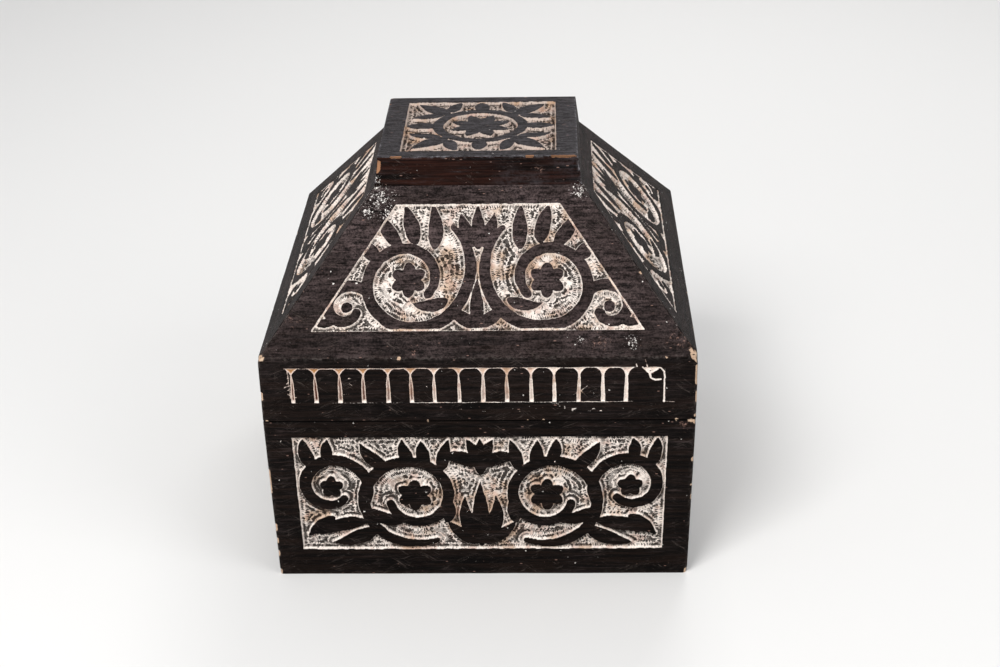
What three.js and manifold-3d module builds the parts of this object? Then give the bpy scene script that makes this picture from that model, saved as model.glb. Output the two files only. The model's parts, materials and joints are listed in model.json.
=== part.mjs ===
// A carved wooden box, 280 mm square at the eaves. The case is four leaning walls round a bottom board.
// The lid is a ring of upright rails with an arcade, four sloping boards mitred at the hips, and a block
// that closes the top. Two brass butt hinges in the seam at the back carry the lid.
// Millimetres, +Z up. The origin is on the ground in the middle of the foot, and the front faces -Y.

import * as THREE from 'three';
import { mergeVertices } from 'three/addons/utils/BufferGeometryUtils.js';
import Module from 'manifold-3d';

// Case
const BOX_WIDTH = 280;        // along X, across the rim and the eaves
const BOX_DEPTH = 280;        // along Y
const CASE_HEIGHT = 119.4;
const CASE_LEAN = 2.5;        // the foot of each wall stands this far inside its rim
const WALL = 12;
const BOTTOM_BOARD = 8;
const BOTTOM_REBATE = 6;      // how far the bottom board reaches under each wall

// Lid
const BAND_HEIGHT = 45.4;
const RAIL = 12;
const ROOF_RISE = 85.6;
const ROOF_BOARD = 12;        // thickness, square to the slope
const CAP_WIDTH = 135.6;      // foot of the block that closes the roof
const CAP_DEPTH = 121.8;
const CAP_HEIGHT = 19;
const CAP_LEAN = 2.5;         // the top of the block stands this far inside its foot
const TONGUE_HEIGHT = 6;      // the block's tongue drops into the roof's opening

// Joints between fixed pieces, and the seam between case and lid
const GLUE_LINE = 0.3;
const SEAM = 0.4;

// Carved fields: how deep the ground lies, and the plain frame left round it
const FIELD_SINK = 2.4;
const CASE_FRAME_SIDE = 17.5;
const CASE_FRAME_FOOT = 20;
const CASE_FRAME_HEAD = 12;
const ROOF_FRAME_SIDE = 22;   // along the board, from the hip
const ROOF_FRAME_FOOT = 18;
const ROOF_FRAME_HEAD = 12.7;
const CAP_FRAME_SIDE = 14;
const CAP_FRAME_END = 10.5;

// Relief left standing in the fields: stems that curl into scrolls, leaves and flowers. It is drawn for a
// field of one height, scaled to each field's own, and spread along the field by shares of its width.
const RELIEF_HALF_HEIGHT = 43.6;
const STEM_WIDTH = 7.4;
const STEM_END = 4.6;         // width of a stem at both its ends
const SCROLL_STEP = 40;       // degrees between the corners of a scroll's outline
const LEAF_STEPS = 3;
const LEAF_FULLNESS = 0.75;   // below 1, a leaf is widest before the middle of its length
const PETAL_NOTCH = 0.66;     // radius between two petals as a share of the flower's radius
const WALL_GREAT_SCROLL = 0.375;
const WALL_SMALL_SCROLL = 0.817;
const ROOF_GREAT_SCROLL = 0.55;
const ROOF_SMALL_SCROLL = 1.05;

// The relief on the block: a flower in a ring, with leaves to the sides and the corners
const CAP_RELIEF_HALF_HEIGHT = 47.9;
const CAP_FLOWER_RADIUS = 20;
const CAP_PETALS = 8;
const RING_RADIUS = 28.5;
const RING_WIDTH = 6.8;
const RING_FACETS = 16;

// Arcade on the rails: a row of cut pillars whose spandrels leave round-headed arches standing
const ARCADE_PITCH = 15.3;
const ARCADE_END = 20.8;      // plain wood at each end of the row
const ARCADE_FOOT = 13.4;     // above the rail's lower edge
const ARCADE_HEIGHT = 25;
const ARCADE_SINK = 1.4;
const PILLAR_FOOT = 2.9;      // a pillar's width at its foot, tapering to its neck
const PILLAR_NECK = 1.9;
const SPANDREL_HEIGHT = 4.3;
const SPANDREL_REACH = 3.5;   // how far a spandrel flares on each side of the neck
const SPANDREL_FLARE = 1.4;   // above 1, its sides are hollow
const SPANDREL_STEPS = 2;

// Butt hinges, let into the edges at the seam
const HINGE_LENGTH = 40;
const HINGE_FROM_END = 50;    // from the box's side to the middle of the hinge
const LEAF = 1.4;
const LEAF_REACH = 9.5;       // from the back face into the edge
const KNUCKLE_RADIUS = 2.6;
const KNUCKLE_COUNT = 3;
const PIN_RADIUS = 1.1;
const PIN_HEAD_RADIUS = 1.9;
const PIN_HEAD_HEIGHT = 0.9;
const HINGE_PLAY = 0.3;       // round leaves, knuckles and pins
const HINGE_FACETS = 12;

// Countersunk screws
const SCREW_LENGTH = 10;
const SCREW_RADIUS = 1.1;
const SCREW_HEAD_RADIUS = 2.3;
const SCREW_HEAD_HEIGHT = 1.2;
const SCREW_POINT = 2.5;
const SCREW_FROM_BACK = 5;
const SCREW_SPACING = 24;
const SCREW_PLAY = 0.3;
const SCREW_FACETS = 8;

// How far a cutting tool starts outside the face that it cuts
const OVERCUT = 1;

// Heights and places that follow
const BAND_FOOT = CASE_HEIGHT + SEAM;
const EAVE = BAND_FOOT + BAND_HEIGHT;
const ROOF_FOOT = EAVE + GLUE_LINE;
const ROOF_HEAD = ROOF_FOOT + ROOF_RISE;
const CAP_FOOT = ROOF_HEAD + GLUE_LINE;
const MITRE_TRIM = GLUE_LINE / Math.SQRT2;
const HINGE_Z = CASE_HEIGHT + SEAM / 2;
const HINGE_Y = BOX_DEPTH / 2 + KNUCKLE_RADIUS + HINGE_PLAY;

const DARK_WOOD = { color: 0x1d1613, roughness: 0.5, metalness: 0 };
const BRASS = { color: 0x8f7138, roughness: 0.38, metalness: 0.9 };

const wasm = await Module();
wasm.setup();

// A closed geometry as a solid that can be joined and cut
function solid(geometry) {
  const bare = geometry.clone();
  bare.deleteAttribute('normal');
  bare.deleteAttribute('uv');
  const merged = mergeVertices(bare, 1e-4);
  return new wasm.Manifold(new wasm.Mesh({
    numProp: 3,
    vertProperties: new Float32Array(merged.attributes.position.array),
    triVerts: new Uint32Array(merged.index.array),
  }));
}

// A solid as a geometry again
function geometryOf(body) {
  const mesh = body.getMesh();
  const geometry = new THREE.BufferGeometry();
  geometry.setAttribute('position', new THREE.BufferAttribute(mesh.vertProperties, 3));
  geometry.setIndex(new THREE.BufferAttribute(mesh.triVerts, 1));
  geometry.computeVertexNormals();
  return geometry;
}

function box(low, high) {
  const size = high.map((value, axis) => value - low[axis]);
  const middle = high.map((value, axis) => (value + low[axis]) / 2);
  return solid(new THREE.BoxGeometry(...size).translate(...middle));
}

// A block with six flat faces between two rectangles' corners, each list running anticlockwise from above
function blockBetween(foot, head) {
  const geometry = new THREE.BufferGeometry();
  geometry.setAttribute('position', new THREE.Float32BufferAttribute([...foot, ...head].flat(), 3));
  const faces = [[0, 1, 5, 4], [1, 2, 6, 5], [2, 3, 7, 6], [3, 0, 4, 7], [3, 2, 1, 0], [4, 5, 6, 7]];
  geometry.setIndex(faces.flatMap(([a, b, c, d]) => [a, b, c, a, c, d]));
  return solid(geometry);
}

// One board of a mitred ring, on the -Y side. Each end of it is a level: the height, half the length
// and the distance from the middle on the outer face, and how much less both are on the inner face.
function ringBoard(footLevel, headLevel) {
  const corners = ({ z, half, reach, halfIn, reachIn }) => [
    [-half + MITRE_TRIM, -reach, z],
    [half - MITRE_TRIM, -reach, z],
    [half - halfIn - MITRE_TRIM, -reach + reachIn, z],
    [-half + halfIn + MITRE_TRIM, -reach + reachIn, z],
  ];
  return blockBetween(corners(footLevel), corners(headLevel));
}

// The outer face of such a board as a drawing plane: u along it, v up it, and w out of it
function outerPlane(footLevel, headLevel) {
  const up = new THREE.Vector3(0, footLevel.reach - headLevel.reach, headLevel.z - footLevel.z);
  const height = up.length();
  const along = new THREE.Vector3(1, 0, 0);
  up.normalize();
  const out = new THREE.Vector3().crossVectors(along, up);
  const matrix = new THREE.Matrix4().makeBasis(along, up, out);
  matrix.setPosition(0, -footLevel.reach, footLevel.z);
  return { matrix, height };
}

// A flat outline as a prism between two levels of a drawing plane
function prism(shape, low, high, matrix) {
  const geometry = new THREE.ExtrudeGeometry(shape, { depth: high - low, bevelEnabled: false });
  return solid(geometry.translate(0, 0, low).applyMatrix4(matrix));
}

// A tool that cuts an outline to a depth below a drawing plane
function cutter(shape, depth, matrix) {
  return prism(shape, -depth, OVERCUT, matrix);
}

// A field with level head and foot, given by half its width at each
function fieldShape(vFoot, halfFoot, vHead, halfHead) {
  return new THREE.Shape([
    new THREE.Vector2(-halfFoot, vFoot),
    new THREE.Vector2(halfFoot, vFoot),
    new THREE.Vector2(halfHead, vHead),
    new THREE.Vector2(-halfHead, vHead),
  ]);
}

// The value at a share of the way through a list
function between(list, share) {
  const place = share * (list.length - 1);
  const index = Math.min(Math.floor(place), list.length - 2);
  return THREE.MathUtils.lerp(list[index], list[index + 1], place - index);
}

// The outline of a stroke: half its width is laid off square to its middle line on both sides, and a
// width of 0 makes a point
function strokeOutline(line, widths) {
  const edge = (side) => line.map((point, index) => {
    const before = line[Math.max(index - 1, 0)];
    const after = line[Math.min(index + 1, line.length - 1)];
    const across = new THREE.Vector2(before.y - after.y, after.x - before.x);
    return across.setLength(side * widths[index] / 2).add(point);
  });
  return [...edge(-1), ...edge(1).filter((_, index) => widths[index] > 0).reverse()];
}

// A stem that curls round a centre from one angle to another, in degrees, while its radius passes
// through a list of values
function scroll(x, y, radii, start, end) {
  const steps = Math.round(Math.abs(end - start) / SCROLL_STEP);
  const line = Array.from({ length: steps + 1 }, (_, step) => {
    const angle = THREE.MathUtils.degToRad(THREE.MathUtils.lerp(start, end, step / steps));
    const radius = between(radii, step / steps);
    return new THREE.Vector2(x + radius * Math.cos(angle), y + radius * Math.sin(angle));
  });
  const widths = line.map((_, step) => (step === 0 || step === steps ? STEM_END : STEM_WIDTH));
  return strokeOutline(line, widths);
}

// A pointed leaf: the place of its base, its direction there in degrees, its length and its width. Its
// direction turns evenly by a bend from base to point.
function leaf(x, y, angle, length, width, bend = 0) {
  const line = [new THREE.Vector2(x, y)];
  for (let step = 0; step < LEAF_STEPS; step += 1) {
    const heading = THREE.MathUtils.degToRad(angle + bend * (step + 0.5) / LEAF_STEPS);
    const stride = new THREE.Vector2(Math.cos(heading), Math.sin(heading));
    line.push(stride.multiplyScalar(length / LEAF_STEPS).add(line[step]));
  }
  const widths = line.map((_, step) => {
    const ends = step === 0 || step === LEAF_STEPS;
    return ends ? 0 : width * Math.sin(Math.PI * (step / LEAF_STEPS) ** LEAF_FULLNESS);
  });
  return strokeOutline(line, widths);
}

// A flower as a star with blunt points
function flower(x, y, radius, petals) {
  return Array.from({ length: 2 * petals }, (_, index) => {
    const angle = Math.PI / 2 + Math.PI * index / petals;
    const reach = radius * (index % 2 === 0 ? 1 : PETAL_NOTCH);
    return new THREE.Vector2(x + reach * Math.cos(angle), y + reach * Math.sin(angle));
  });
}

// The middle of a wall's relief: a lily below, and leaves that hang from the head
const wallLily = [leaf(0, -41, 90, 50, 11.5), leaf(0, 15, 90, 27, 9.5)];
const wallLilySide = [
  leaf(3, -36, 57, 35, 10, 42),
  leaf(2, -38, 22, 27, 9, 34),
  leaf(2, 22, 40, 25, 10, -50),
];

// The great scroll beside it, round its flower, with the leaves that spring from its stem
const wallGreatScroll = [
  scroll(0, -3, [37, 34.5, 31, 28, 25, 21.5, 18, 15], -114, 342),
  flower(-1.5, -1, 11, 5),
  leaf(30, -15, 226, 30, 9.5, -62),
  leaf(25, -27, -38, 33, 10.5, 36),
  leaf(31, -22, -3, 42, 10.5, -20),
  leaf(16, 20, 28, 26, 9.5, 42),
  leaf(-9, 22, 78, 19, 9, 12),
  leaf(0, 23, 55, 20, 8.5, 40),
  leaf(-19, 18, 100, 24, 8.5, 10),
];

// The small scroll near the end of the field, which curls the other way
const wallSmallScroll = [
  scroll(0, 4.5, [25.5, 23.5, 21, 17.5, 13.5, 11], 212, -135),
  flower(0.5, 5.5, 7.4, 4),
  leaf(0, -18, -25, 24, 8, -30),
  leaf(12, 20, 62, 24, 9, 30),
  leaf(2, 25, 82, 17, 8, 20),
];

// The relief of a sloping board: a lily between two great scrolls, and a small scroll beside each
const roofLily = [leaf(0, -42, 90, 33, 8.5), leaf(0, 12, 90, 30, 9)];
const roofLilySide = [leaf(3, 14, 60, 24, 9, 22)];
const roofGreatScroll = [
  scroll(0, -9.5, [46, 37, 31.5, 28.5, 25.5, 22, 18, 15], 128, 575),
  flower(0.5, -9, 10.8, 5),
  leaf(-25, -22, -35, 24, 8, 60),
  leaf(-4, 16, 80, 27, 10, -10),
  leaf(6, 14, 48, 28, 9.5, 22),
  leaf(-16, 12, 96, 31, 9.5, -14),
  leaf(19, 5, 35, 22, 9.5, 30),
];
const roofSmallScroll = [scroll(0, -27, [17, 14.5, 12.5, 10, 7.5], 165, -150)];

// A quarter of the relief on the block, and the leaves between its quarters
const capQuarter = [leaf(22, 22, 45, 30, 12), leaf(20, 27, 90, 21, 9, 30), leaf(27, 20, 0, 21, 9, -30)];
const capBud = [leaf(0, 30, 90, 16, 10.5)];
const capSideLeaf = [leaf(30, 0, 0, 20, 11)];

// Outlines scaled, moved along the field and mirrored
function setOut(outlines, place, scale, mirrorX = 1, mirrorY = 1) {
  return outlines.map((outline) => outline.map((point) => new THREE.Vector2(
    mirrorX * (point.x * scale + place),
    mirrorY * point.y * scale,
  )));
}

function onBothSides(outlines, place, scale) {
  return [...setOut(outlines, place, scale), ...setOut(outlines, place, scale, -1)];
}

function wallRelief(halfWidth, halfHeight) {
  const scale = halfHeight / RELIEF_HALF_HEIGHT;
  return [
    ...setOut(wallLily, 0, scale),
    ...onBothSides(wallLilySide, 0, scale),
    ...onBothSides(wallGreatScroll, WALL_GREAT_SCROLL * halfWidth, scale),
    ...onBothSides(wallSmallScroll, WALL_SMALL_SCROLL * halfWidth, scale),
  ];
}

function roofRelief(halfWidth, halfHeight) {
  const scale = halfHeight / RELIEF_HALF_HEIGHT;
  return [
    ...setOut(roofLily, 0, scale),
    ...onBothSides(roofLilySide, 0, scale),
    ...onBothSides(roofGreatScroll, ROOF_GREAT_SCROLL * halfWidth, scale),
    ...onBothSides(roofSmallScroll, ROOF_SMALL_SCROLL * halfWidth, scale),
  ];
}

function capRelief(scale) {
  return [
    flower(0, 0, CAP_FLOWER_RADIUS * scale, CAP_PETALS),
    ...onBothSides(capSideLeaf, 0, scale),
    ...setOut(capBud, 0, scale),
    ...setOut(capBud, 0, scale, 1, -1),
    ...onBothSides(capQuarter, 0, scale),
    ...setOut(capQuarter, 0, scale, 1, -1),
    ...setOut(capQuarter, 0, scale, -1, -1),
  ];
}

// The ring round the block's flower
function ringShape(scale) {
  const circle = (radius) => Array.from({ length: RING_FACETS }, (_, index) => {
    const angle = 2 * Math.PI * index / RING_FACETS;
    return new THREE.Vector2(scale * radius * Math.cos(angle), scale * radius * Math.sin(angle));
  });
  const ring = new THREE.Shape(circle(RING_RADIUS + RING_WIDTH / 2));
  ring.holes.push(new THREE.Path(circle(RING_RADIUS - RING_WIDTH / 2)));
  return ring;
}

// The sunk field of a board, its sides following the board's own sides and its relief left standing
function boardField(footLevel, headLevel, frame, relief) {
  const plane = outerPlane(footLevel, headLevel);
  const vHead = plane.height - frame.head;
  const vMiddle = (frame.foot + vHead) / 2;
  const halfAt = (v) => {
    const share = v / plane.height;
    return footLevel.half + (headLevel.half - footLevel.half) * share - frame.side;
  };
  const shape = fieldShape(frame.foot, halfAt(frame.foot), vHead, halfAt(vHead));
  const middle = plane.matrix.clone().multiply(new THREE.Matrix4().makeTranslation(0, vMiddle, 0));
  const outlines = relief(halfAt(vMiddle), vMiddle - frame.foot);
  const reliefShapes = outlines.map((outline) => new THREE.Shape(outline));
  return withRelief(cutter(shape, FIELD_SINK, plane.matrix), reliefShapes, middle);
}

// A field's tool with the relief taken out of it, so that it stays standing in the wood
function withRelief(tool, shapes, matrix) {
  const parts = shapes.map((shape) => prism(shape, -FIELD_SINK - OVERCUT, 2 * OVERCUT, matrix));
  return parts.reduce((left, part) => left.subtract(part), tool);
}

// The sides of the box: how far each is turned from the front, its length, and its distance from the middle
const SIDES = [
  { name: 'front', turn: 0, length: BOX_WIDTH, span: BOX_DEPTH, capLength: CAP_WIDTH, capSpan: CAP_DEPTH },
  { name: 'right', turn: 1, length: BOX_DEPTH, span: BOX_WIDTH, capLength: CAP_DEPTH, capSpan: CAP_WIDTH },
  { name: 'back', turn: 2, length: BOX_WIDTH, span: BOX_DEPTH, capLength: CAP_WIDTH, capSpan: CAP_DEPTH },
  { name: 'left', turn: 3, length: BOX_DEPTH, span: BOX_WIDTH, capLength: CAP_DEPTH, capSpan: CAP_WIDTH },
];

// How much further in a sloping board's inner face lies than its outer face, measured level
function levelThickness(span, capSpan) {
  const run = (span - capSpan) / 2;
  return ROOF_BOARD * Math.hypot(run, ROOF_RISE) / ROOF_RISE;
}

// Screws: a lathe profile from the head's flat face down to the point, grown by some play
function screwProfile(play) {
  const head = SCREW_HEAD_RADIUS + play;
  const shank = SCREW_RADIUS + play;
  return [
    new THREE.Vector2(0, -SCREW_LENGTH - play),
    new THREE.Vector2(shank, -SCREW_LENGTH + SCREW_POINT - play),
    new THREE.Vector2(shank, -SCREW_HEAD_HEIGHT),
    new THREE.Vector2(head, 0),
    new THREE.Vector2(0, 0),
  ];
}

function lathe(profile, facets) {
  return new THREE.LatheGeometry(profile, facets).rotateX(Math.PI / 2);
}

// Where each hinge sits and where its screws go, seen from the middle of the box
const HINGES = [
  { name: 'left', x: -(BOX_WIDTH / 2 - HINGE_FROM_END) },
  { name: 'right', x: BOX_WIDTH / 2 - HINGE_FROM_END },
];
const SCREW_Y = BOX_DEPTH / 2 - SCREW_FROM_BACK;
const screwPlaces = HINGES.flatMap((hinge) => [-1, 1].map((side, index) => ({
  name: `${hinge.name}_${index + 1}`,
  x: hinge.x + side * SCREW_SPACING / 2,
})));

// The face that a leaf lies flush with: the rim for the case's leaf, the rail's lower edge for the lid's
function leafFace(upper) {
  return upper ? BAND_FOOT : CASE_HEIGHT;
}

// A screw-shaped solid at each place, its head in the leaf's face and its point in the wood
function screwSolid(place, upper, play) {
  const body = lathe(screwProfile(play), SCREW_FACETS);
  if (upper) {
    body.rotateX(Math.PI);
  }
  return solid(body.translate(place.x, SCREW_Y, leafFace(upper)));
}

// The bed for a leaf in the edge of the back wall or rail, with the screws' pilot holes
function cutHingeBeds(board, upper) {
  const face = leafFace(upper);
  const side = upper ? 1 : -1;
  let cut = board;
  for (const hinge of HINGES) {
    const half = HINGE_LENGTH / 2 + HINGE_PLAY;
    const inner = BOX_DEPTH / 2 - LEAF_REACH - HINGE_PLAY;
    const outer = BOX_DEPTH / 2 + OVERCUT;
    const deep = face + side * (LEAF + HINGE_PLAY);
    const open = face - side * OVERCUT;
    cut = cut.subtract(box(
      [hinge.x - half, inner, Math.min(deep, open)],
      [hinge.x + half, outer, Math.max(deep, open)],
    ));
  }
  for (const place of screwPlaces) {
    cut = cut.subtract(screwSolid(place, upper, SCREW_PLAY));
  }
  return cut;
}

// A rod along X between two ends, round the hinge's axis
function hingeRod(radius, xLow, xHigh) {
  const rod = new THREE.CylinderGeometry(radius, radius, xHigh - xLow, HINGE_FACETS);
  rod.rotateZ(Math.PI / 2);
  return solid(rod.translate((xLow + xHigh) / 2, HINGE_Y, HINGE_Z));
}

// A hinge leaf: a plate in its bed, a tab and a knuckle at each of its own places along the pin, and the
// bore through them
function leafSolid(hinge, upper) {
  const face = leafFace(upper);
  const zLow = upper ? face : face - LEAF;
  const zHigh = upper ? face + LEAF : face;
  const left = hinge.x - HINGE_LENGTH / 2;
  const knuckle = (HINGE_LENGTH - (KNUCKLE_COUNT - 1) * HINGE_PLAY) / KNUCKLE_COUNT;
  const plateEnd = HINGE_Y - KNUCKLE_RADIUS - HINGE_PLAY;
  let leaf = box([left, BOX_DEPTH / 2 - LEAF_REACH, zLow], [left + HINGE_LENGTH, plateEnd, zHigh]);
  for (let index = upper ? 1 : 0; index < KNUCKLE_COUNT; index += 2) {
    const start = left + index * (knuckle + HINGE_PLAY);
    leaf = leaf.add(box([start, plateEnd - LEAF, zLow], [start + knuckle, HINGE_Y, zHigh]));
    leaf = leaf.add(hingeRod(KNUCKLE_RADIUS, start, start + knuckle));
  }
  leaf = leaf.subtract(hingeRod(PIN_RADIUS + HINGE_PLAY, left - OVERCUT, left + HINGE_LENGTH + OVERCUT));
  for (const place of screwPlaces) {
    leaf = leaf.subtract(screwSolid(place, upper, SCREW_PLAY));
  }
  return leaf;
}

// A hinge pin with a riveted dome at each end
function pinGeometry(hinge) {
  const half = HINGE_LENGTH / 2 + HINGE_PLAY;
  const dome = (sign) => [
    new THREE.Vector2(PIN_HEAD_RADIUS, sign * half),
    new THREE.Vector2(PIN_HEAD_RADIUS * 0.75, sign * (half + PIN_HEAD_HEIGHT * 0.7)),
    new THREE.Vector2(0, sign * (half + PIN_HEAD_HEIGHT)),
  ];
  const profile = [
    ...dome(-1).reverse(),
    new THREE.Vector2(PIN_RADIUS, -half),
    new THREE.Vector2(PIN_RADIUS, half),
    ...dome(1),
  ];
  const pin = new THREE.LatheGeometry(profile, HINGE_FACETS).rotateZ(-Math.PI / 2);
  return pin.translate(hinge.x, HINGE_Y, HINGE_Z);
}

// Case walls
function wallLevels(side) {
  const level = (z, lean) => ({
    z,
    half: side.length / 2 - lean,
    reach: side.span / 2 - lean,
    halfIn: WALL,
    reachIn: WALL,
  });
  return [level(0, CASE_LEAN), level(CASE_HEIGHT, 0)];
}

const bottomHalf = (size) => size / 2 - CASE_LEAN - WALL + BOTTOM_REBATE;

function wallSolid(side) {
  const [foot, head] = wallLevels(side);
  const alongHalf = bottomHalf(side.length) + GLUE_LINE;
  const acrossHalf = bottomHalf(side.span) + GLUE_LINE;
  const rebate = box(
    [-alongHalf, -acrossHalf, -OVERCUT],
    [alongHalf, acrossHalf, BOTTOM_BOARD + GLUE_LINE],
  );
  const frame = { side: CASE_FRAME_SIDE, foot: CASE_FRAME_FOOT, head: CASE_FRAME_HEAD };
  return ringBoard(foot, head).subtract(rebate).subtract(boardField(foot, head, frame, wallRelief));
}

// Rails of the lid's band
function railLevels(side) {
  const level = (z) => ({
    z,
    half: side.length / 2,
    reach: side.span / 2,
    halfIn: RAIL,
    reachIn: RAIL,
  });
  return [level(BAND_FOOT), level(EAVE)];
}

// One pillar of the arcade with half a spandrel on each side, as an outline above its foot
function pillarShape() {
  const arch = Array.from({ length: SPANDREL_STEPS + 1 }, (_, step) => {
    const share = step / SPANDREL_STEPS;
    return new THREE.Vector2(
      PILLAR_NECK / 2 + SPANDREL_REACH * share ** SPANDREL_FLARE,
      ARCADE_HEIGHT - SPANDREL_HEIGHT * (1 - share),
    );
  });
  const right = [new THREE.Vector2(PILLAR_FOOT / 2, 0), ...arch];
  const left = right.map((point) => new THREE.Vector2(-point.x, point.y)).reverse();
  return new THREE.Shape([...right, ...left]);
}

// The row is set out from the left at an even pitch, and what is left over goes to the last bay
function pillarPlaces(length) {
  const run = length - 2 * ARCADE_END;
  const bays = Math.floor(run / ARCADE_PITCH);
  const places = Array.from({ length: bays }, (_, index) => -run / 2 + index * ARCADE_PITCH);
  return [...places, run / 2];
}

function railSolid(side) {
  const [foot, head] = railLevels(side);
  const plane = outerPlane(foot, head);
  let rail = ringBoard(foot, head);
  for (const place of pillarPlaces(side.length)) {
    const at = plane.matrix.clone().multiply(new THREE.Matrix4().makeTranslation(place, ARCADE_FOOT, 0));
    rail = rail.subtract(cutter(pillarShape(), ARCADE_SINK, at));
  }
  return rail;
}

// Sloping boards of the roof
function slopeSolid(side) {
  const halfIn = levelThickness(side.length, side.capLength);
  const reachIn = levelThickness(side.span, side.capSpan);
  const foot = { z: ROOF_FOOT, half: side.length / 2, reach: side.span / 2, halfIn, reachIn };
  const head = { z: ROOF_HEAD, half: side.capLength / 2, reach: side.capSpan / 2, halfIn, reachIn };
  const frame = { side: ROOF_FRAME_SIDE, foot: ROOF_FRAME_FOOT, head: ROOF_FRAME_HEAD };
  return ringBoard(foot, head).subtract(boardField(foot, head, frame, roofRelief));
}

// The block on top, with its tongue
function capSolid() {
  const corners = (halfWidth, halfDepth, z) => [
    [-halfWidth, -halfDepth, z],
    [halfWidth, -halfDepth, z],
    [halfWidth, halfDepth, z],
    [-halfWidth, halfDepth, z],
  ];
  const topWidth = CAP_WIDTH / 2 - CAP_LEAN;
  const topDepth = CAP_DEPTH / 2 - CAP_LEAN;
  const top = CAP_FOOT + CAP_HEIGHT;
  const block = blockBetween(
    corners(CAP_WIDTH / 2, CAP_DEPTH / 2, CAP_FOOT),
    corners(topWidth, topDepth, top),
  );
  const tongueWidth = CAP_WIDTH / 2 - levelThickness(BOX_WIDTH, CAP_WIDTH) - GLUE_LINE;
  const tongueDepth = CAP_DEPTH / 2 - levelThickness(BOX_DEPTH, CAP_DEPTH) - GLUE_LINE;
  const tongue = box(
    [-tongueWidth, -tongueDepth, CAP_FOOT - TONGUE_HEIGHT],
    [tongueWidth, tongueDepth, CAP_FOOT + OVERCUT],
  );
  const fieldWidth = topWidth - CAP_FRAME_SIDE;
  const fieldDepth = topDepth - CAP_FRAME_END;
  const field = fieldShape(-fieldDepth, fieldWidth, fieldDepth, fieldWidth);
  const plane = new THREE.Matrix4().makeTranslation(0, 0, top);
  const scale = Math.min(fieldDepth, fieldWidth) / CAP_RELIEF_HALF_HEIGHT;
  const shapes = [ringShape(scale), ...capRelief(scale).map((outline) => new THREE.Shape(outline))];
  return block.add(tongue).subtract(withRelief(cutter(field, FIELD_SINK, plane), shapes, plane));
}

// Assembly
const darkWood = new THREE.MeshStandardMaterial(DARK_WOOD);
const brass = new THREE.MeshStandardMaterial(BRASS);

function piece(name, geometry, material) {
  const mesh = new THREE.Mesh(geometry, material);
  mesh.name = name;
  return mesh;
}

// A board made on the front side and turned to its own side of the box. The back board is cut for the
// hinges in its own place, so it is turned before the cut and added unturned.
function sideBoard(name, side, makeSolid, upper) {
  const turn = side.turn * Math.PI / 2;
  if (side.name !== 'back' || upper === undefined) {
    const mesh = piece(`${name}_${side.name}`, geometryOf(makeSolid(side)), darkWood);
    mesh.rotation.z = turn;
    return mesh;
  }
  const placed = makeSolid(side).rotate([0, 0, 180]);
  return piece(`${name}_${side.name}`, geometryOf(cutHingeBeds(placed, upper)), darkWood);
}

function hardware(upper) {
  const owner = upper ? 'lid' : 'case';
  const leaves = HINGES.map((hinge) => (
    piece(`hinge_leaf_${owner}_${hinge.name}`, geometryOf(leafSolid(hinge, upper)), brass)
  ));
  const screws = screwPlaces.map((place) => (
    piece(`screw_${owner}_${place.name}`, geometryOf(screwSolid(place, upper, 0)), brass)
  ));
  return [...leaves, ...screws];
}

function makeCase() {
  const group = new THREE.Group();
  for (const side of SIDES) {
    group.add(sideBoard('wall', side, wallSolid, false));
  }
  const bottom = new THREE.BoxGeometry(2 * bottomHalf(BOX_WIDTH), 2 * bottomHalf(BOX_DEPTH), BOTTOM_BOARD);
  const board = piece('bottom_board', bottom, darkWood);
  board.position.z = BOTTOM_BOARD / 2;
  group.add(board, ...hardware(false));
  for (const hinge of HINGES) {
    group.add(piece(`hinge_pin_${hinge.name}`, pinGeometry(hinge), brass));
  }
  return group;
}

function makeLid() {
  const group = new THREE.Group();
  for (const side of SIDES) {
    group.add(sideBoard('band', side, railSolid, true));
    group.add(sideBoard('roof', side, slopeSolid));
  }
  group.add(piece('cap_block', geometryOf(capSolid()), darkWood), ...hardware(true));
  return group;
}

const carvedBox = new THREE.Group();
carvedBox.add(makeCase(), makeLid());

export default carvedBox;
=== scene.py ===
# %% [markdown]
# # A carved box with a hipped lid
# The box is 280 mm square at the eaves: four leaning walls, a straight band with an arcade, four sloping
# boards and a block on top. The wood is stained nearly black. On every face a field is cut down about
# 2.4 mm and its ground is hacked with short gouge marks and whitened, so the ornament stands up dark.
#
# The solids that hold the box together come from the frame. Here each board gets its carved surface, its
# worn corners and its finish. Lengths are in millimetres while a shape is worked out, and in metres in
# Blender.

# %% Load the frame
import json
import math
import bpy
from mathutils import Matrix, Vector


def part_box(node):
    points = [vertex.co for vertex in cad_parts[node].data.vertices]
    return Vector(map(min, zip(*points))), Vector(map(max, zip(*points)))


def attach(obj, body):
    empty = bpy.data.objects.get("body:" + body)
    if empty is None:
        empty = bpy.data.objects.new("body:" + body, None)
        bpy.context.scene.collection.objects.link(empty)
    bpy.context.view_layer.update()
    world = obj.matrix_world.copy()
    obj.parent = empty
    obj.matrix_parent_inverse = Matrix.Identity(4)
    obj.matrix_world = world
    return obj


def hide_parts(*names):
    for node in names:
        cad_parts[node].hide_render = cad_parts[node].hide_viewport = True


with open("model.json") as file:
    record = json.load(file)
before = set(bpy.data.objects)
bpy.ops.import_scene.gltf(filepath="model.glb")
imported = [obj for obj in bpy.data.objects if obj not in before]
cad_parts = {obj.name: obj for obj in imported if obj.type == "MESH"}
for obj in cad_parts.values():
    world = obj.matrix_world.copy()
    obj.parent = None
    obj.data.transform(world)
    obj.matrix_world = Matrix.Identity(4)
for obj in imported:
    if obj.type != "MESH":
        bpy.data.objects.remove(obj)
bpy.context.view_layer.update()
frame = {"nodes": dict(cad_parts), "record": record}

from types import SimpleNamespace

import bpy
import numpy as np
from mathutils import Matrix

MM = 0.001
nodes = frame["nodes"]


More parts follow.
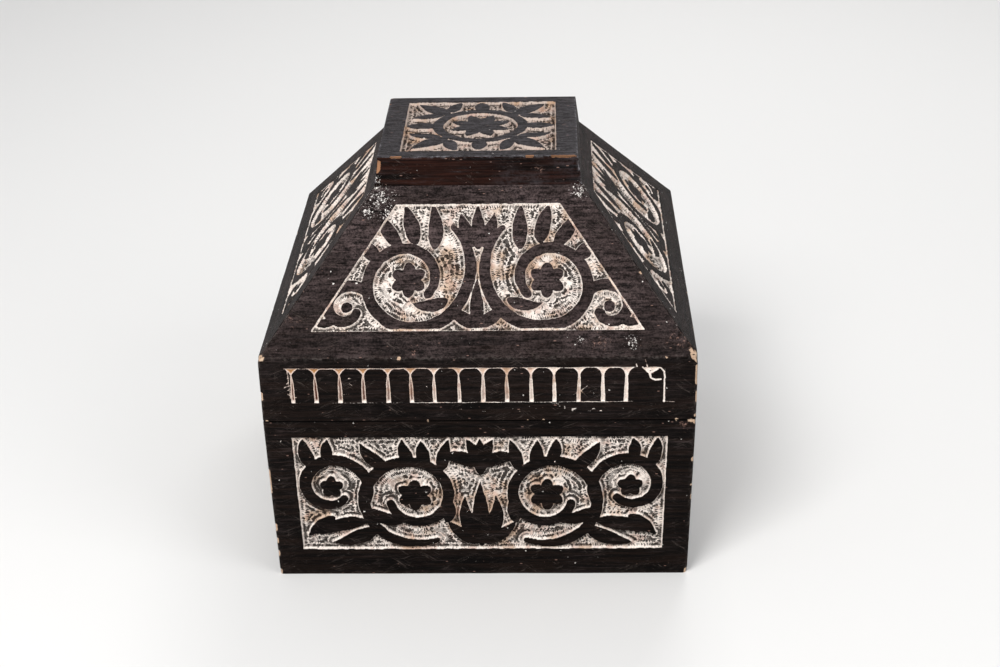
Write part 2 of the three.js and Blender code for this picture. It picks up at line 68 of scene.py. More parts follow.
def box_mm(node):
    """The lowest and highest corner of a solid, in millimetres."""
    low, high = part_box(node)
    return np.array(low) / MM, np.array(high) / MM


# %% [markdown]
# ## Sizes
# The outer sizes are read from the solids, so the carved boards land exactly where the plain ones are.
# The carving has its own sizes: how wide the plain frame round each field is, and how deep it is cut.

# %% Sizes of the box
HALF_WIDTH = -box_mm("wall_left")[0][0]
HALF_DEPTH = -box_mm("wall_front")[0][1]
CASE_HEIGHT = box_mm("wall_front")[1][2]
BAND_FOOT = box_mm("band_front")[0][2]
EAVE = box_mm("band_front")[1][2]
ROOF_FOOT = box_mm("roof_front")[0][2]
ROOF_HEAD = box_mm("roof_front")[1][2]
CAP_LOW, CAP_HIGH = box_mm("cap_block")
CAP_HALF = CAP_HIGH[:2]
RAIL = box_mm("band_front")[1][1] - box_mm("band_front")[0][1]
BOARD = 12.0            # thickness of walls and roof boards
CASE_LEAN = 2.5         # how far a wall's foot stands inside its rim
CAP_LEAN = 2.5
MITRE_TRIM = 0.1        # what the mitred ends keep clear of each other's plane
BOTTOM_REBATE = 6.0     # how far the bottom board reaches under a wall
BOTTOM_SEAT = 8.3       # height of the rebate that holds the bottom board
TONGUE_CLEAR = 0.3      # between the block's tongue and the roof boards

# %% Sizes of the carving
FIELD_SINK = 2.4        # how deep the ground lies
CASE_FRAME = dict(side=17.5, foot=20.0, head=12.0)
ROOF_FRAME = dict(side=22.0, foot=18.0, head=12.7)
CAP_FRAME = dict(side=14.0, foot=10.5, head=10.5)
print("case height", round(CASE_HEIGHT, 1), "eave", round(EAVE, 1), "roof head", round(ROOF_HEAD, 1))

# %% [markdown]
# ## Camera
# The photograph is taken from a little to the right of the middle and from above, with a long lens.
# The camera's place was found by matching the corners of the box.

# %% Camera
CAMERA_AT = (0.0472, -1.1512, 0.6870)
CAMERA_YAW = -0.0319
CAMERA_PITCH = -0.4626
CAMERA_ROLL = -0.0209
LENS = 64.7
SENSOR = 36.0


def camera_axes(yaw, pitch, roll):
    """Right, up and back axes of a camera that looks along +Y, turned by yaw, then pitch, then roll."""
    forward = np.array([math.sin(yaw) * math.cos(pitch), math.cos(yaw) * math.cos(pitch), math.sin(pitch)])
    across = np.array([math.cos(yaw), -math.sin(yaw), 0.0])
    lifted = np.cross(across, forward)
    right = across * math.cos(roll) + lifted * math.sin(roll)
    up = lifted * math.cos(roll) - across * math.sin(roll)
    return right, up, -forward


def set_place(thing, axes, at):
    """Links a camera or lamp to the scene at a point, with its right, up and back axes."""
    matrix = np.eye(4)
    matrix[:3, :3] = np.array(axes).T
    matrix[:3, 3] = at
    thing.matrix_world = Matrix(matrix.tolist())
    bpy.context.scene.collection.objects.link(thing)


camera_data = bpy.data.cameras.new("camera")
camera_data.lens = LENS
camera_data.sensor_width = SENSOR
camera_data.sensor_fit = "HORIZONTAL"
camera = bpy.data.objects.new("camera", camera_data)
set_place(camera, camera_axes(CAMERA_YAW, CAMERA_PITCH, CAMERA_ROLL), CAMERA_AT)
bpy.context.scene.camera = camera
print("camera at", CAMERA_AT, "lens", LENS)

# %% [markdown]
# ## Noise for handwork
# Hand-cut work is never quite straight. A smooth noise, worked out for a whole array of points at once,
# wanders the outlines, dents the ground and wears the corners. It depends only on the point and a seed,
# so two boards that share a corner are worn alike there.

# %% Smooth noise on arrays
def lattice(cells, seed):
    """A fixed number from 0 to 1 for each whole-numbered cell: its three indices are mixed by multiplying
    and folding the bits over."""
    mixed = (cells[..., 0] * 374761393 + cells[..., 1] * 668265263 + cells[..., 2] * 1103515245
             + seed * 69069) & 0xFFFFFFFF
    mixed = ((mixed ^ (mixed >> 13)) * 1274126177) & 0xFFFFFFFF
    return ((mixed ^ (mixed >> 16)) & 0xFFFF) / 65535.0


def noise(points, size, seed):
    """Noise from -1 to 1 on points of shape (..., 3): the eight corners of each cell are blended with
    weights that ease in and out, 3t^2 - 2t^3."""
    scaled = points / size
    whole = np.floor(scaled).astype(np.int64)
    part = scaled - whole
    ease = part * part * (3 - 2 * part)
    total = np.zeros(points.shape[:-1])
    for corner in range(8):
        offset = np.array([corner & 1, corner >> 1 & 1, corner >> 2 & 1])
        weight = np.prod(np.where(offset == 1, ease, 1 - ease), axis=-1)
        total += weight * lattice(whole + offset, seed)
    return 2 * total - 1


def rough(points, size, seed, octaves=3):
    """Several noises added, each half the size and about half the strength of the one before."""
    layers = [noise(points, size / 2 ** k, seed + k) * 0.55 ** k for k in range(octaves)]
    return sum(layers) / sum(0.55 ** k for k in range(octaves))


def smooth_step(value, low, high):
    """0 below low, 1 above high, and 3t^2 - 2t^3 between."""
    t = np.clip((value - low) / (high - low), 0, 1)
    return t * t * (3 - 2 * t)


def on_face(u, v, deep=0.0):
    """Points u along a face, v up it and a depth below it, as one array of shape (..., 3)."""
    return np.stack(np.broadcast_arrays(u, v, deep), axis=-1)

# %% [markdown]
# ## Ornament
# The relief is a generic vine: stems that curl into scrolls round small flowers, with pointed leaves.
# A carver draws each part as one stroke whose width swells and tapers. Here a stroke is a row of discs,
# close together, and the distance to the nearest disc's edge says where the knife goes.

# %% Strokes
STROKE_PITCH = 0.35     # mm from disc to disc
LEAF_STEPS = 60         # points along a leaf
SCROLL_STEPS = 260      # points along a scroll
SCROLL_EASE = 7         # points on each side over which a scroll's radius is averaged


def stroke(points, widths):
    """Discs along a line: rows of x, y, radius and distance run, with the widths spread evenly along it."""
    run = np.concatenate([[0.0], np.cumsum(np.hypot(*np.diff(points, axis=0).T))])
    place = np.linspace(0.0, run[-1], max(3, int(run[-1] / STROKE_PITCH) + 1))
    radius = np.interp(place / run[-1], np.linspace(0, 1, len(widths)), widths) / 2
    x = np.interp(place, run, points[:, 0])
    y = np.interp(place, run, points[:, 1])
    return np.stack([x, y, radius, place], axis=1)


def disc(x, y, radius):
    """A round boss, as a stroke of two discs in one place."""
    return np.array([[x, y, radius, 0.0], [x, y, radius, 0.01]])


def leaf(x, y, angle, length, width, bend=0.0):
    """A pointed leaf from its base: its direction turns evenly by bend degrees, and its width follows
    the sine of the share of its length to the power 0.75, so that it is fullest before the middle."""
    share = np.linspace(0, 1, LEAF_STEPS)
    heading = np.radians(angle + bend * share[:-1])
    steps = np.stack([np.cos(heading), np.sin(heading)], axis=1) * length / (LEAF_STEPS - 1)
    line = np.array([x, y]) + np.concatenate([[[0, 0]], np.cumsum(steps, axis=0)])
    return stroke(line, np.maximum(width * np.sin(np.pi * share ** 0.75) ** 0.9, 0.5))


def polar(x, y, reach, degrees):
    """The point at a reach from x, y in a direction."""
    return x + reach * np.cos(np.radians(degrees)), y + reach * np.sin(np.radians(degrees))


def flower(x, y, radius, petals, plump=0.72):
    """Round petals about a small boss, the first one upright."""
    angles = 90.0 + 360.0 * np.arange(petals) / petals
    around = [leaf(*polar(x, y, 0.3 * radius, angle), angle, 0.74 * radius, plump * radius)
              for angle in angles]
    return around + [disc(x, y, 0.25 * radius)]


def scroll(x, y, radii, start, end, widths):
    """A stem that curls round x, y from one angle to another. Its radius passes evenly through the given
    ones, and is averaged over a short stretch so that it has no kinks."""
    share = np.linspace(0, 1, SCROLL_STEPS)
    angle = np.radians(start + (end - start) * share)
    reach = np.interp(share, np.linspace(0, 1, len(radii)), radii)
    window = 2 * SCROLL_EASE + 1
    reach = np.convolve(np.pad(reach, SCROLL_EASE, mode="edge"), np.full(window, 1 / window), "valid")
    return stroke(np.stack([x + reach * np.cos(angle), y + reach * np.sin(angle)], axis=1), widths)


def flipped(strokes, across=1, upright=1):
    """The same strokes mirrored in x, in y or in both."""
    return [rows * np.array([across, upright, 1, 1]) for rows in strokes]


def both_sides(strokes):
    """Strokes and their mirror images on the other side of the middle."""
    return strokes + flipped(strokes, across=-1)

# %% [markdown]
# ### The three fields
# The long field of a wall has a bud in the middle and two scrolls on each side, one curling each way.
# The field of a roof board has two great scrolls that spring from a stem. The square field on top has
# a flower in a ring. Each is laid out for one half and mirrored.

# %% Layout of the fields
STEM = 7.4              # width of a carved stem
BODY = STEM * np.array([0.5, 0.95, 1.05, 1.1, 1.05, 1.0, 1.0, 0.95, 0.8])
BRANCH = STEM * np.array([0.6, 1.0, 1.1, 1.05, 1.0, 0.8])


def case_ornament():
    """A bud in the middle, and a great scroll and a small one on each side."""
    side = [
        scroll(45, -3, [37, 34.5, 31, 28, 25, 21.5, 18, 15], -114, 342, BODY),
        scroll(98, 4.5, [25.5, 23.5, 21, 17.5, 13.5, 11], 212, -135, BRANCH),
        leaf(75, -12, 226, 30, 9.5, -62),
        leaf(24, -22, 120, 20, 7.5, -50),
        leaf(70, -27, -38, 33, 10.5, 36),
        leaf(76, -22, -3, 42, 10.5, -20),
        leaf(98, -18, -25, 24, 8, -30),
        leaf(61, 20, 28, 26, 9.5, 42),
        leaf(36, 22, 78, 19, 9, 12),
        leaf(45, 23, 55, 20, 8.5, 40),
        leaf(26, 18, 100, 24, 8.5, 10),
        leaf(110, 20, 62, 24, 9, 30),
        leaf(100, 25, 82, 17, 8, 20),
        leaf(3, -36, 57, 35, 10, 42),
        leaf(2, -38, 22, 27, 9, 34),
        leaf(2, 22, 40, 25, 10, -50),
        leaf(1, 24, 74, 19, 8, -15),
    ]
    side += flower(43.5, -1, 11, 6) + flower(98.5, 5.5, 7.4, 5, plump=0.9)
    return both_sides(side) + [leaf(0, -41, 90, 50, 11.5), leaf(0, 15, 90, 27, 9.5)]


def roof_ornament():
    """A stem in the middle, and two scrolls that spring from it on each side."""
    side = [
        scroll(44, -9.5, [46, 37, 31.5, 28.5, 25.5, 22, 18, 15], 128, 575, BODY),
        scroll(84, -27, [17, 14.5, 12.5, 10, 7.5], 165, -150, BRANCH),
        disc(84, -27, 3.6),
        leaf(19, -22, -35, 24, 8, 60),
        leaf(92, -37, -8, 14, 6, 12),
        leaf(63, 5, 35, 22, 9.5, 30),
        leaf(40, 16, 80, 27, 10, -10),
        leaf(50, 14, 48, 28, 9.5, 22),
        leaf(28, 12, 96, 31, 9.5, -14),
        leaf(3, 14, 60, 24, 9.0, 22),
        leaf(2, -40, 45, 20, 8.5, -30),
    ]
    side += flower(44.5, -9, 10.8, 6)
    return both_sides(side) + [leaf(0, -42, 90, 33, 8.5), leaf(0, 12, 90, 30, 9)]


def cap_ornament():
    """Eight petals in a ring, with leaves that reach into the corners."""
    angle = np.linspace(0, 2 * np.pi, 240)
    ring = stroke(28.5 * np.stack([np.cos(angle), np.sin(angle)], axis=1), [6.8, 6.8])
    corner = [leaf(22, 22, 45, 30, 12), leaf(20, 27, 90, 21, 9, 30), leaf(27, 20, 0, 21, 9, -30)]
    corners = both_sides(corner) + flipped(both_sides(corner), upright=-1)
    petals = [leaf(*polar(0, 0, 4, turn), turn, 17, 9.4) for turn in 22.5 + 45 * np.arange(8)]
    buds = [leaf(0, 30, 90, 16, 10.5), leaf(0, -30, -90, 16, 10.5)] + both_sides([leaf(30, 0, 0, 20, 11)])
    return petals + [disc(0, 0, 5), ring] + corners + buds

# %% [markdown]
# ### A map of the cut
# Each layout is drawn once on a fine flat raster. Every cell keeps the distance to the nearest outline,
# less than 0 inside the relief, and how far along its stroke that place is. The gouge marks follow these
# two numbers later, so they stand square to the outlines, as a carver's do.

# %% Raster of distances
RASTER = 0.4            # mm from cell to cell
REACH = 12.0            # how far from an outline distances are kept
STROKE_GAP = 40         # run left between the end of a stroke and the start of the next
ROOF_FIELD = (108, 44)  # half sizes of the maps in mm, which cover the longest lines of the fields
CAP_FIELD = (52, 49)


def distance_map(strokes, half_width, half_height):
    """For each disc, the cells round it compare their distance to its edge with the best so far."""
    xs = np.arange(-half_width - 1, half_width + 1, RASTER)
    ys = np.arange(-half_height - 1, half_height + 1, RASTER)
    away = np.full((len(ys), len(xs)), REACH)
    run = np.zeros_like(away)
    start = 0.0
    for rows in strokes:
        for x, y, radius, place in rows:
            span = radius + REACH
            left, right = np.searchsorted(xs, [x - span, x + span])
            low, high = np.searchsorted(ys, [y - span, y + span])
            window = away[low:high, left:right]
            distance = np.hypot(xs[None, left:right] - x, ys[low:high, None] - y) - radius
            nearer = distance < window
            window[nearer] = distance[nearer]
            run[low:high, left:right][nearer] = start + place
        start += rows[-1, 3] + STROKE_GAP
    return dict(xs=xs, ys=ys, away=away, run=run)


def look_up(chart, u, v):
    """Distance, blended between four cells, and run, from the nearest cell, at points u, v."""
    column = np.clip((u - chart["xs"][0]) / RASTER, 0, len(chart["xs"]) - 1.001)
    row = np.clip((v - chart["ys"][0]) / RASTER, 0, len(chart["ys"]) - 1.001)
    i, j = row.astype(int), column.astype(int)
    a, b = row - i, column - j
    away = chart["away"]
    blended = ((1 - a) * (1 - b) * away[i, j] + (1 - a) * b * away[i, j + 1]
               + a * (1 - b) * away[i + 1, j] + a * b * away[i + 1, j + 1])
    return blended, chart["run"][np.round(row).astype(int), np.round(column).astype(int)]


CASE_FIELD = (
    HALF_WIDTH - CASE_FRAME["side"],
    (math.hypot(CASE_HEIGHT, CASE_LEAN) - CASE_FRAME["foot"] - CASE_FRAME["head"]) / 2,
)
charts = {
    "case": distance_map(case_ornament(), *CASE_FIELD),
    "roof": distance_map(roof_ornament(), *ROOF_FIELD),
    "cap": distance_map(cap_ornament(), *CAP_FIELD),
}
for name, chart in charts.items():
    print(name, "raster", chart["away"].shape, "dark share", round(float((chart["away"] < 0).mean()), 2))

# %% [markdown]
# ## A board as one closed surface
# The outer face is a grid. Its lines lie close together in the field, where the carving is, and at the
# corners, which are worn. The grid's rim is carried round the edges to the inner face in a few loops, and
# a fan closes the inner face. Every vertex also keeps where it lies on its board, and masks for the finish.

# %% Grid lines
CELL = 0.6              # mm between lines in a field
MARGIN_CELL = 1.6
ARRIS_LINES = np.array([0.0, 0.35, 0.8, 1.4, 2.2, 3.2])


def spread(low, high, cell):
    """Evenly spaced lines from low to high, both included, about a cell apart."""
    return np.linspace(low, high, max(2, int(round((high - low) / cell)) + 1))


def margin_lines(width, cell=MARGIN_CELL):
    """Lines across a plain margin from its outer edge: close at the arris, then even."""
    return np.concatenate([ARRIS_LINES, spread(ARRIS_LINES[-1], width, cell)[1:]])


def lines_across(half, margin, cell):
    """Lines from -half to half: close at both arrises, and a cell apart in the field between."""
    edge = margin_lines(margin)
    return np.concatenate([edge - half, spread(margin - half, half - margin, cell)[1:-1], half - edge[::-1]])


def upright_lines(height, frame_sizes, cell=CELL):
    """Heights of the rows, from the foot of the face to its head."""
    foot = margin_lines(frame_sizes["foot"])
    head = height - margin_lines(frame_sizes["head"])[::-1]
    field = spread(foot[-1], head[0], cell)
    return np.concatenate([foot, field[1:-1], head])


def level_lines(half, frame_sizes, cell=CELL, extra=()):
    """Columns as numbers that follow a tapering face: -1 to 1 across the field, 1 to 2 across a margin."""
    margin = 1 + margin_lines(frame_sizes["side"]) / frame_sizes["side"]
    field_half = half - frame_sizes["side"]
    field = spread(-field_half, field_half, cell) / field_half
    outer = 3 - margin[::-1]
    columns = np.concatenate([-outer[::-1], field[1:-1], outer])
    return np.unique(np.concatenate([columns, np.asarray(extra, float)]))

# %% [markdown]
# ### Meshes
# Every piece is written from arrays in one go. A piece that starts as a grid is closed by loops and a fan.

# %% Mesh from arrays
def make_mesh(name, vertices, faces, attributes, smooth_faces):
    """vertices in mm; faces as arrays of quads or triangles; attributes as arrays of one or three numbers."""
    mesh = bpy.data.meshes.new(name)
    corner_counts = np.concatenate([np.full(len(group), group.shape[1]) for group in faces])
    corners = np.concatenate([group.ravel() for group in faces])
    mesh.vertices.add(len(vertices))
    mesh.vertices.foreach_set("co", (vertices * MM).astype(np.float32).ravel())
    mesh.loops.add(len(corners))
    mesh.loops.foreach_set("vertex_index", corners.astype(np.int32))
    mesh.polygons.add(len(corner_counts))
    starts = np.concatenate([[0], np.cumsum(corner_counts)[:-1]])
    mesh.polygons.foreach_set("loop_start", starts.astype(np.int32))
    smooth = np.arange(len(corner_counts)) < smooth_faces
    mesh.polygons.foreach_set("use_smooth", smooth)
    mesh.update(calc_edges=True)
    mesh.validate()
    for key, values in attributes.items():
        vector = values.ndim == 2
        kind = "FLOAT_VECTOR" if vector else "FLOAT"
        layer = mesh.attributes.new(key, kind, "POINT")
        layer.data.foreach_set("vector" if vector else "value", values.astype(np.float32).ravel())
    piece = bpy.data.objects.new(name, mesh)
    bpy.context.scene.collection.objects.link(piece)
    return piece


def grid_faces(rows, columns):
    """Quads of a grid whose vertices are numbered row by row."""
    index = np.arange(rows * columns).reshape(rows, columns)
    return np.stack([index[:-1, :-1], index[:-1, 1:], index[1:, 1:], index[1:, :-1]], axis=-1).reshape(-1, 4)


def grid_rim(rows, columns):
    """The vertices round a grid, anticlockwise from the lower left: along the foot, up the right side,
    back along the head and down the left side."""
    index = np.arange(rows * columns).reshape(rows, columns)
    return np.concatenate([index[0, :-1], index[:-1, -1], index[-1, :0:-1], index[:0:-1, 0]])


def loop_faces(first, second):
    """Quads between two loops of the same length, the second one deeper in the board."""
    return np.stack([first, second, np.roll(second, -1), np.roll(first, -1)], axis=-1)


def at_height(outline, z):
    """Rows of x and y with one height added."""
    return np.concatenate([outline, np.full((len(outline), 1), z)], axis=1)

# %% Closed shells
class Shell:
    """A closed surface: a grid, loops that carry its rim on, and a fan that closes it. Each vertex also
    keeps its place, the vector that the pattern of the finish follows."""

    def __init__(self, surface, places):
        rows, columns = surface.shape[:2]
        self.rim = self.last = grid_rim(rows, columns)
        self.points = [surface.reshape(-1, 3)]
        self.places = [places.reshape(-1, 3)]
        self.faces = [grid_faces(rows, columns)]
        self.count = rows * columns

    def add(self, points, places):
        self.points.append(points)
        self.places.append(points if places is None else places)
        self.count += len(points)

    def loop(self, points, places=None):
        """Carries the rim on to a loop of points."""
        index = self.count + np.arange(len(self.rim))
        self.faces.append(loop_faces(self.last, index))
        self.last = index
        self.add(points, places)

    def close(self, point, place=None):
        """Closes the last loop with a fan round one point."""
        middle = np.full(len(self.last), self.count)
        self.faces.append(np.stack([np.roll(self.last, -1), self.last, middle], axis=-1))
        self.add(np.array([point]), None if place is None else np.array([place]))

    def joined_points(self):
        return np.concatenate(self.points)

    def joined_places(self):
        return np.concatenate(self.places)

# %% [markdown]
# ### Worn corners
# Every corner of the box has lost its edge. The wear is a distance by which the arris has gone back: 0.4 mm
# nearly everywhere, more where the noise is high, and a few real chips where the photograph shows them.
# Chips and rubbed places also show bare wood, so each board keeps that as a mask.

# %% Chips, grit and scuffs
BASE_WEAR = 0.42
CHIPS = [
    # x, y, z, half sizes along x, y and z, and depth, in mm
    (-67, -58, 263, 5.5, 6.5, 7.0, 1.7),
    (-53, -58, 269, 7.5, 4.0, 2.4, 0.9),
    (57, -58, 270, 10.0, 4.0, 2.2, 1.1),
    (34, -58, 270, 4.5, 4.0, 2.0, 0.9),
    (43, -59, 267.5, 5.0, 4.0, 1.3, 0.7),
    (139, -139, 167, 6.0, 7.0, 8.0, 1.7),
    (133, -137, 169, 5.0, 4.0, 3.0, 1.0),
    (140, -140, 152, 2.4, 2.4, 10.0, 0.8),
    (140, -140, 137, 1.6, 1.6, 6.0, 0.5),
    (-139, -139, 166, 4.5, 4.5, 4.0, 1.1),
    (-140, -140, 138, 1.8, 1.8, 4.0, 0.9),
    (-133, -140, 118, 9.0, 3.0, 1.4, 1.0),
    (137, -140, 118, 5.0, 3.0, 2.5, 1.1),
    (139, -140, 123, 4.0, 3.0, 2.0, 0.9),
    (21, -140, 121, 4.6, 3.0, 1.3, 1.1),
    (31, -140, 120.5, 2.4, 2.5, 1.1, 0.9),
    (42, -140, 120.5, 2.2, 2.5, 1.1, 0.9),
    (-139.4, -139.4, 74, 1.5, 1.5, 16.0, 0.55),
    (-138.6, -138.6, 38, 2.2, 2.2, 4.5, 0.9),
    (-138.4, -138.4, 27, 1.8, 1.8, 3.0, 0.8),
    (-138.2, -138.2, 17, 2.0, 2.0, 4.0, 0.8),
    (138, -138, 62, 2.0, 2.0, 4.0, 0.8),
    (137.6, -137.6, 2, 6.0, 6.0, 3.0, 1.2),
    (-137.6, -137.6, 2, 4.0, 4.0, 2.5, 0.9),
    (104, -104, 208, 4.0, 4.0, 4.0, 0.9),
    (-90, -88, 228, 3.0, 3.0, 5.0, 0.8),
    (139, 137, 118, 3.0, 6.0, 2.0, 1.0),
    (-139, 60, 165, 3.0, 5.0, 1.6, 0.8),
]
GRIT = [
    # x, y, z and radius in mm of the places where pale grit sticks to the stain
    (-64, -66, 244, 14.0),
    (-58, -74, 238, 9.0),
    (-72, -72, 238, 9.0),
    (66, -64, 248, 8.0),
    (-66, -61, 256, 5.0),
    (98, -134, 173, 7.0),
    (66, -132, 174, 4.0),
]
SCUFFS = [
    # x, y, z and radius in mm of places where the stain is rubbed through
    (128, -134, 176, 14.0),
    (136, -134, 172, 8.0),
    (78, -133, 172, 10.0),
    (-40, -136, 169, 6.0),
    (-118, -122, 184, 8.0),
    (40, -60, 262, 6.0),
    (133, -140, 116, 7.0),
]


print("chips", len(CHIPS), "gritty places", len(GRIT), "scuffs", len(SCUFFS))

# %% Wear
def wear_at(points):
    """How far the arris has gone back at each point, and how bare the wood is there, from 0 to 1."""
    broad = rough(points, 22.0, 11)
    fine = rough(points, 5.0, 17, 2)
    ragged = 0.3 * noise(points, 1.6, 23)
    depth = BASE_WEAR * (1 + 0.5 * broad) + 1.3 * np.maximum(fine + 0.35 * broad - 0.52, 0)
    bare = smooth_step(fine + 0.4 * broad, 0.56, 0.78)
    for x, y, z, across, through, up, chip in CHIPS:
        away = np.linalg.norm((points - np.array([x, y, z])) / np.array([across, through, up]), axis=-1)
        inside = smooth_step(-away - ragged, -1.0, -0.5)
        depth = np.maximum(depth, chip * inside)
        bare = np.maximum(bare, inside)
    return depth, bare


def patches_at(points, patches):
    """1 at the middle of the nearest patch, falling to 0 at its radius."""
    amount = np.zeros(points.shape[:-1])
    for x, y, z, radius in patches:
        away = np.linalg.norm(points - np.array([x, y, z]), axis=-1)
        amount = np.maximum(amount, 1 - away / radius)
    return amount


def wear_attribute(bare, vertices):
    """Three numbers a vertex for the finish: bare wood, grit and scuffs."""
    return np.stack([bare, patches_at(vertices, GRIT), patches_at(vertices, SCUFFS)], axis=-1)

# %% [markdown]
# ### The board builder
# A board lies between a foot level and a head level. Each level gives its height, half the board's length,
# its distance from the middle of the box, and how much shorter and nearer the inner face is.

# %% Board geometry
def level(z, half, reach, half_in, reach_in):
    """The measures of a board at one height."""
    return dict(z=z, half=half - MITRE_TRIM, reach=reach, half_in=half_in, reach_in=reach_in)


class Board:
    """Places on one board of a mitred ring, on the -Y side of the box before it is turned."""

    def __init__(self, foot, head, sizes):
        self.foot = foot
        self.head = head
        self.sizes = sizes
        rise = head["z"] - foot["z"]
        inward = foot["reach"] - head["reach"]
        self.height = math.hypot(rise, inward)
        self.out = np.array([0.0, -rise, inward]) / self.height

    def at(self, key, v):
        """A measure of the board at height v up its face."""
        share = v / self.height
        return self.foot[key] + (self.head[key] - self.foot[key]) * share

    def along(self, column, v):
        """The distance along the board of a column number at height v."""
        half = self.at("half", v)
        field = half - self.sizes["side"]
        margin = np.sign(column) * (field + (np.abs(column) - 1) * self.sizes["side"])
        return np.where(np.abs(column) <= 1, column * field, margin)

    def point(self, u, v, deep=0.0):
        """The point u along and v up the outer face, or a share of the way through to the inner face."""
        reach = self.at("reach", v) - deep * self.at("reach_in", v)
        z = self.at("z", v)
        return np.stack(np.broadcast_arrays(u, -reach, z), axis=-1).astype(float)


def turned(points, quarter_turns):
    """Points turned about the upright axis by quarter turns, without rounding."""
    cosine = [1, 0, -1, 0][quarter_turns % 4]
    sine = [0, 1, 0, -1][quarter_turns % 4]
    x, y, z = points[..., 0], points[..., 1], points[..., 2]
    return np.stack([cosine * x - sine * y, sine * x + cosine * y, z], axis=-1)

# %% Worn edges of a face
SIDES = {"front": 0, "right": 1, "back": 2, "left": 3}
WEAR_REACH = 3.4        # a worn corner is rounded over this many times its wear
ARRIS_WEAR_AND_LIGHT_REACH = 0.9      # mm over which the worn arris and the highlight painted on it fade


def wear_profile(distance, worn):
    """How far the face lies back at a distance from the arris: the wear, falling as a parabola to 0."""
    span = np.maximum(WEAR_REACH * worn, 0.05)
    return worn * np.clip(1 - distance / span, 0, 1) ** 2


def bare_near(distance, worn):
    """1 at a worn arris, and 0 a few times its wear away: how far in a chip shows bare wood."""
    return smooth_step(-distance, -2.6 * worn - 0.4, -0.3 * worn)


def worn_face(board, u, v, quarter, wears, arris_wear_and_light_strengths):
    """Moves the face's points for its four worn edges. Returns u, the depth below the face, bareness, and the
    arris light: a highlight painted over the worn stain of each arris, and painted shade where its strength
    is below 0. It is the sum over the edges of a strength times e to the power of less the distance from
    the arris. The wears are the depths at the sides, the foot and the head as shares of the arris wear."""
    height = board.height
    half = board.at("half", v)
    row_v, row_half = v[:, :1], half[:, :1]
    edges = [
        (board.point(-row_half, row_v), half + u, wears[0], arris_wear_and_light_strengths[0], -1),
        (board.point(row_half, row_v), half - u, wears[0], arris_wear_and_light_strengths[0], 1),
        (board.point(u[:1], 0 * u[:1]), v, wears[1], arris_wear_and_light_strengths[1], 0),
        (board.point(u[-1:], 0 * u[-1:] + height), height - v, wears[2], arris_wear_and_light_strengths[2], 0),
    ]
    depth, bare, arris_wear_and_light = np.zeros((3, *u.shape))
    worn_u = u.copy()
    for arris, distance, share, arris_wear_and_light_strength, hand in edges:
        worn, bareness = wear_at(turned(arris, quarter))
        near = wear_profile(distance, worn)
        depth += near * share
        worn_u -= hand * near * np.clip(1 - distance / (WEAR_REACH * worn), 0, 1) ** 0.5
        bare = np.maximum(bare, bareness * bare_near(distance, worn) * (share > 0))
        # A highlight painted over the worn stain along the arris, and painted shade where the strength is
        # below 0.
        arris_wear_and_light += arris_wear_and_light_strength * np.exp(-distance / ARRIS_WEAR_AND_LIGHT_REACH)
    return worn_u, depth, bare, arris_wear_and_light

# %% Carving of a field
SEEDS = dict(case=100, band=300, roof=500, cap=700)
SEED_STEP = 20          # from one side of the box to the next
WALL_SLOPE = 0.85       # level distance over which the knife goes down to the ground
BORDER_STRIP = 1.7      # width of the ground that is cut all round a field, also past the leaves' tips
BORDER_RUNS = (500, 900)                            # keeps the marks along a border apart from the others
HACKED = dict(case=0.10, roof=-0.03, cap=0.13)      # how much wider the gouge marks are than usual
HACKED_LEFT = 0.07      # and wider still towards the left end of a field


def hand_wander(u, v, seed):
    """Small slow shifts of the drawing, up to about half a millimetre, and a finer one of its outline."""
    flat = on_face(u, v)
    shift_u = 0.6 * noise(flat, 21.0, seed)
    shift_v = 0.6 * noise(flat, 21.0, seed + 1)
    outline = 0.28 * noise(flat, 3.4, seed + 2) + 0.16 * noise(flat, 1.6, seed + 3)
    return shift_u, shift_v, outline


def carve(board, u, v, field, quarter=0):
    """Depth of the cut, the numbers that the gouge marks follow, and no groove. The depth is the sink and an
    unevenness, times a smooth step of the distance past an outline, and the relief dips a little towards its
    edge. An outline is the motif's or the border's. The marks follow the run along it, the distance past it,
    and how heavily the ground is hacked, which grows towards the left end of the field."""
    seed = SEEDS[field] + SEED_STEP * quarter
    middle_v = (board.sizes["foot"] + board.height - board.sizes["head"]) / 2
    half_v = middle_v - board.sizes["foot"]
    shift_u, shift_v, outline = hand_wander(u, v, seed)
    motif, run = look_up(charts[field], u + shift_u, v - middle_v + shift_v)
    motif = motif + outline
    field_half = board.at("half", v) - board.sizes["side"]
    side = field_half - np.abs(u) + 0.5 * outline
    ends = half_v - np.abs(v - middle_v) + 0.5 * outline
    border = np.minimum(side, ends)
    strip = BORDER_STRIP / 2 - np.abs(border - BORDER_STRIP / 2)
    by_border = ((border < motif) | (strip > motif)) & (border < REACH)
    inside = np.maximum(np.minimum(motif, border), strip)
    run = np.where(by_border, np.where(side < ends, v + BORDER_RUNS[0], u + BORDER_RUNS[1]), run)
    down = smooth_step(inside, 0.0, WALL_SLOPE)
    marks = on_face(run / 2.1, inside / 4.2, float(seed))
    flat = on_face(u, v)
    uneven = 0.30 * noise(marks, 1.0, seed + 5) + 0.22 * noise(flat, 9.0, seed + 6)
    soft = 0.16 * smooth_step(-inside, -0.05, 1.1) - 0.16
    relief_dip = np.where(inside < 0, -soft * 0.9, 0)
    tool = 0.07 * noise(flat, 2.2, seed + 7)
    depth = down * (FIELD_SINK + uneven) + relief_dip + (1 - down) * tool * (inside > -6)
    heavy = HACKED[field] + HACKED_LEFT * smooth_step(-u, 0.1 * field_half, 0.9 * field_half)
    return np.where(border > -0.3, depth, 0), np.stack([run, inside, heavy], axis=-1), 0 * run

# %% [markdown]
# ### The arcade
# The band's ornament is a row of tapering pillars with round-headed arches between them. Their cuts are
# grooves of a V, a little different each time. The last bay of the front is wide, and has hooked strokes.

